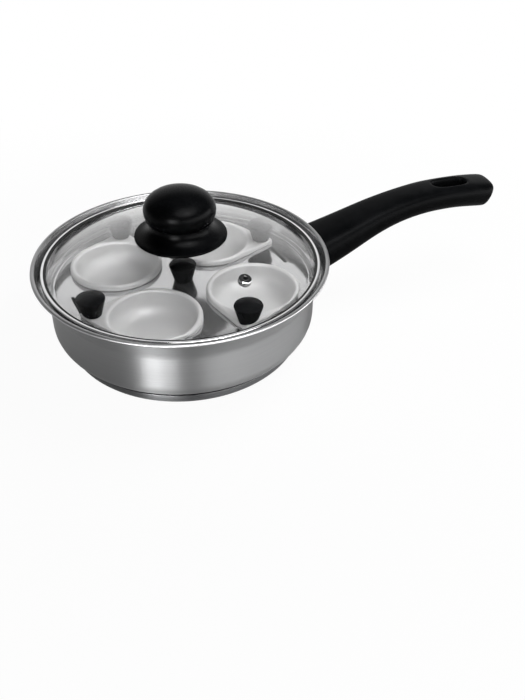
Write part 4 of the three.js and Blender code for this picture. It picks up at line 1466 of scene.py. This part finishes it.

# %% [markdown]
# ## The steam vent
# The vent is a rivetted eyelet with a rolled flange above and below the glass. Its lower half
# mirrors the upper one. The bore looks dark from above, so its faces take the black rubber
# as painted shade.

# %% Vent
VENT_BORE = 1.6
VENT_FLANGE = 4.6
VENT_FLANGE_HEIGHT = 1.1
VENT_FLANGE_TAPER = 0.3
VENT_EDGES = {"bore": 0.5, "flange": 0.6, "seat": 0.2}

seat_height = GLASS_THICKNESS * math.cos(vent_lean) / 2 + VENT_PLAY
flange_top = seat_height + VENT_FLANGE_HEIGHT
upper_half = [
    (VENT_TUBE, seat_height, 0),
    (VENT_FLANGE, seat_height, VENT_EDGES["seat"]),
    (VENT_FLANGE - VENT_FLANGE_TAPER, flange_top, VENT_EDGES["flange"]),
    (VENT_BORE, flange_top, VENT_EDGES["bore"]),
]
lower_half = [(across, -height, edge) for across, height, edge in reversed(upper_half)]
eyelet = turn("steam_eyelet", rounded(lower_half + upper_half), SMALL_STEPS, closed=True)
move(eyelet, vent_place)
dress(eyelet, STEEL["band_steel"], "steel_polished", "lid", "vent_eyelet")
to_vent = vent_place.inverted()
bore_reach = (VENT_BORE + VENT_PLAY) * MM
# Black rubber on the bore's faces is painted shade, for a narrow bore that looks dark from above.
coat(eyelet, rubber, lambda middle, normal: (to_vent @ (middle * MM)).xy.length < bore_reach)
print("vent bore:", 2 * VENT_BORE, "mm")

# %% [markdown]
# ## The lid's knob
# A flared skirt sits on the glass and a flattened mushroom sits on the skirt. Both are turned
# from smooth curves, and the screw, washer and seal under the glass hold them.

# %% Lid knob
SKIRT_EDGE = 1.6
SKIRT_GAP = 0.3
SKIRT_STEPS = 12
SKIRT_SHOULDER = 0.6
SKIRT_NOSE = [(0.05, -0.9), (-0.1, -0.3)]
NECK = 20.6
SCREW_HOLE = 2.7
INSERT_HOLE = 5.3
INSERT_DEPTH = 11.3
GRIP_WIDEST = 9.4
LID_SCREW = 2.4
LID_SCREW_HEAD = 5.0
LID_SCREW_HEAD_HEIGHT = 2.6

skirt_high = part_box("lid_knob_skirt")[1] / MM
grip_low, grip_high = (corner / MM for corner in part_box("lid_knob"))
skirt_radius = skirt_high.x
skirt_under = dome_line(steps_between(SCREW_HOLE, skirt_radius, SKIRT_STEPS), -SKIRT_GAP)
skirt_edge = skirt_under[-1].y + SKIRT_EDGE
skirt_nose = [Vector((skirt_radius + out, skirt_edge + up)) for out, up in SKIRT_NOSE]
flank_foot = skirt_radius - SKIRT_SHOULDER
flank = oval((flank_foot, grip_low.z), (flank_foot - NECK, grip_low.z - skirt_edge), -90, -180)
skirt_outline = skirt_under + skirt_nose + flank + [Vector((SCREW_HOLE, grip_low.z))]
skirt = turn("knob_skirt", skirt_outline, closed=True)
dress(skirt, grip_black, "phenolic_black", "lid", "lid_knob_skirt")

widest = grip_low.z + GRIP_WIDEST
grip_radius = grip_high.x
waist = oval((NECK, widest), (grip_radius - NECK, GRIP_WIDEST), -90, 0)
crown = oval((0, widest), (grip_radius, grip_high.z - widest), 0, 90)
grip_outline = [Vector((INSERT_HOLE, grip_low.z))] + waist + crown[1:] + [
    Vector((0, grip_low.z + INSERT_DEPTH)), Vector((INSERT_HOLE, grip_low.z + INSERT_DEPTH))]
grip = turn("knob_grip", grip_outline, closed=True)
dress(grip, grip_black, "phenolic_black", "lid", "lid_knob")

lid_screw_low, lid_screw_high = (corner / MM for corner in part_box("lid_knob_screw"))
lid_screw_seat = lid_screw_low.z + LID_SCREW_HEAD_HEIGHT
lid_screw_length = lid_screw_high.z - lid_screw_seat
lid_screw = screw(
    "lid_bolt", LID_SCREW, lid_screw_length, LID_SCREW_HEAD, LID_SCREW_HEAD_HEIGHT, 0)
move(lid_screw, Matrix.Translation(Vector((0, 0, lid_screw_seat)) * MM))
dress(lid_screw, STEEL["fastener_steel"], "steel_fastener", "lid", "lid_knob_screw")
print("lid knob: grip", round(2 * grip_radius, 1), "mm, skirt", round(2 * skirt_radius, 1), "mm")

# %% [markdown]
# ## What stays as it is
# The core of the base, the bracket, the brass insert, the seal and the washer are hidden or
# small and already have their shape, so they keep their solids and only get a finish.

# %% Carried-over solids
KEPT = {
    # the core's near-black finish is painted shade in the base's groove
    "base_core": aluminium,
    "handle_bracket": STEEL["satin_steel"],
    "handle_screw": STEEL["fastener_steel"],
    "lid_knob_insert": brass,
    "lid_knob_seal": rubber,
    "lid_knob_washer": STEEL["fastener_steel"],
}
for name, finish in KEPT.items():
    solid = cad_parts[name]
    solid.data.materials.clear()
    solid.data.materials.append(finish)
print("kept solids:", ", ".join(KEPT))
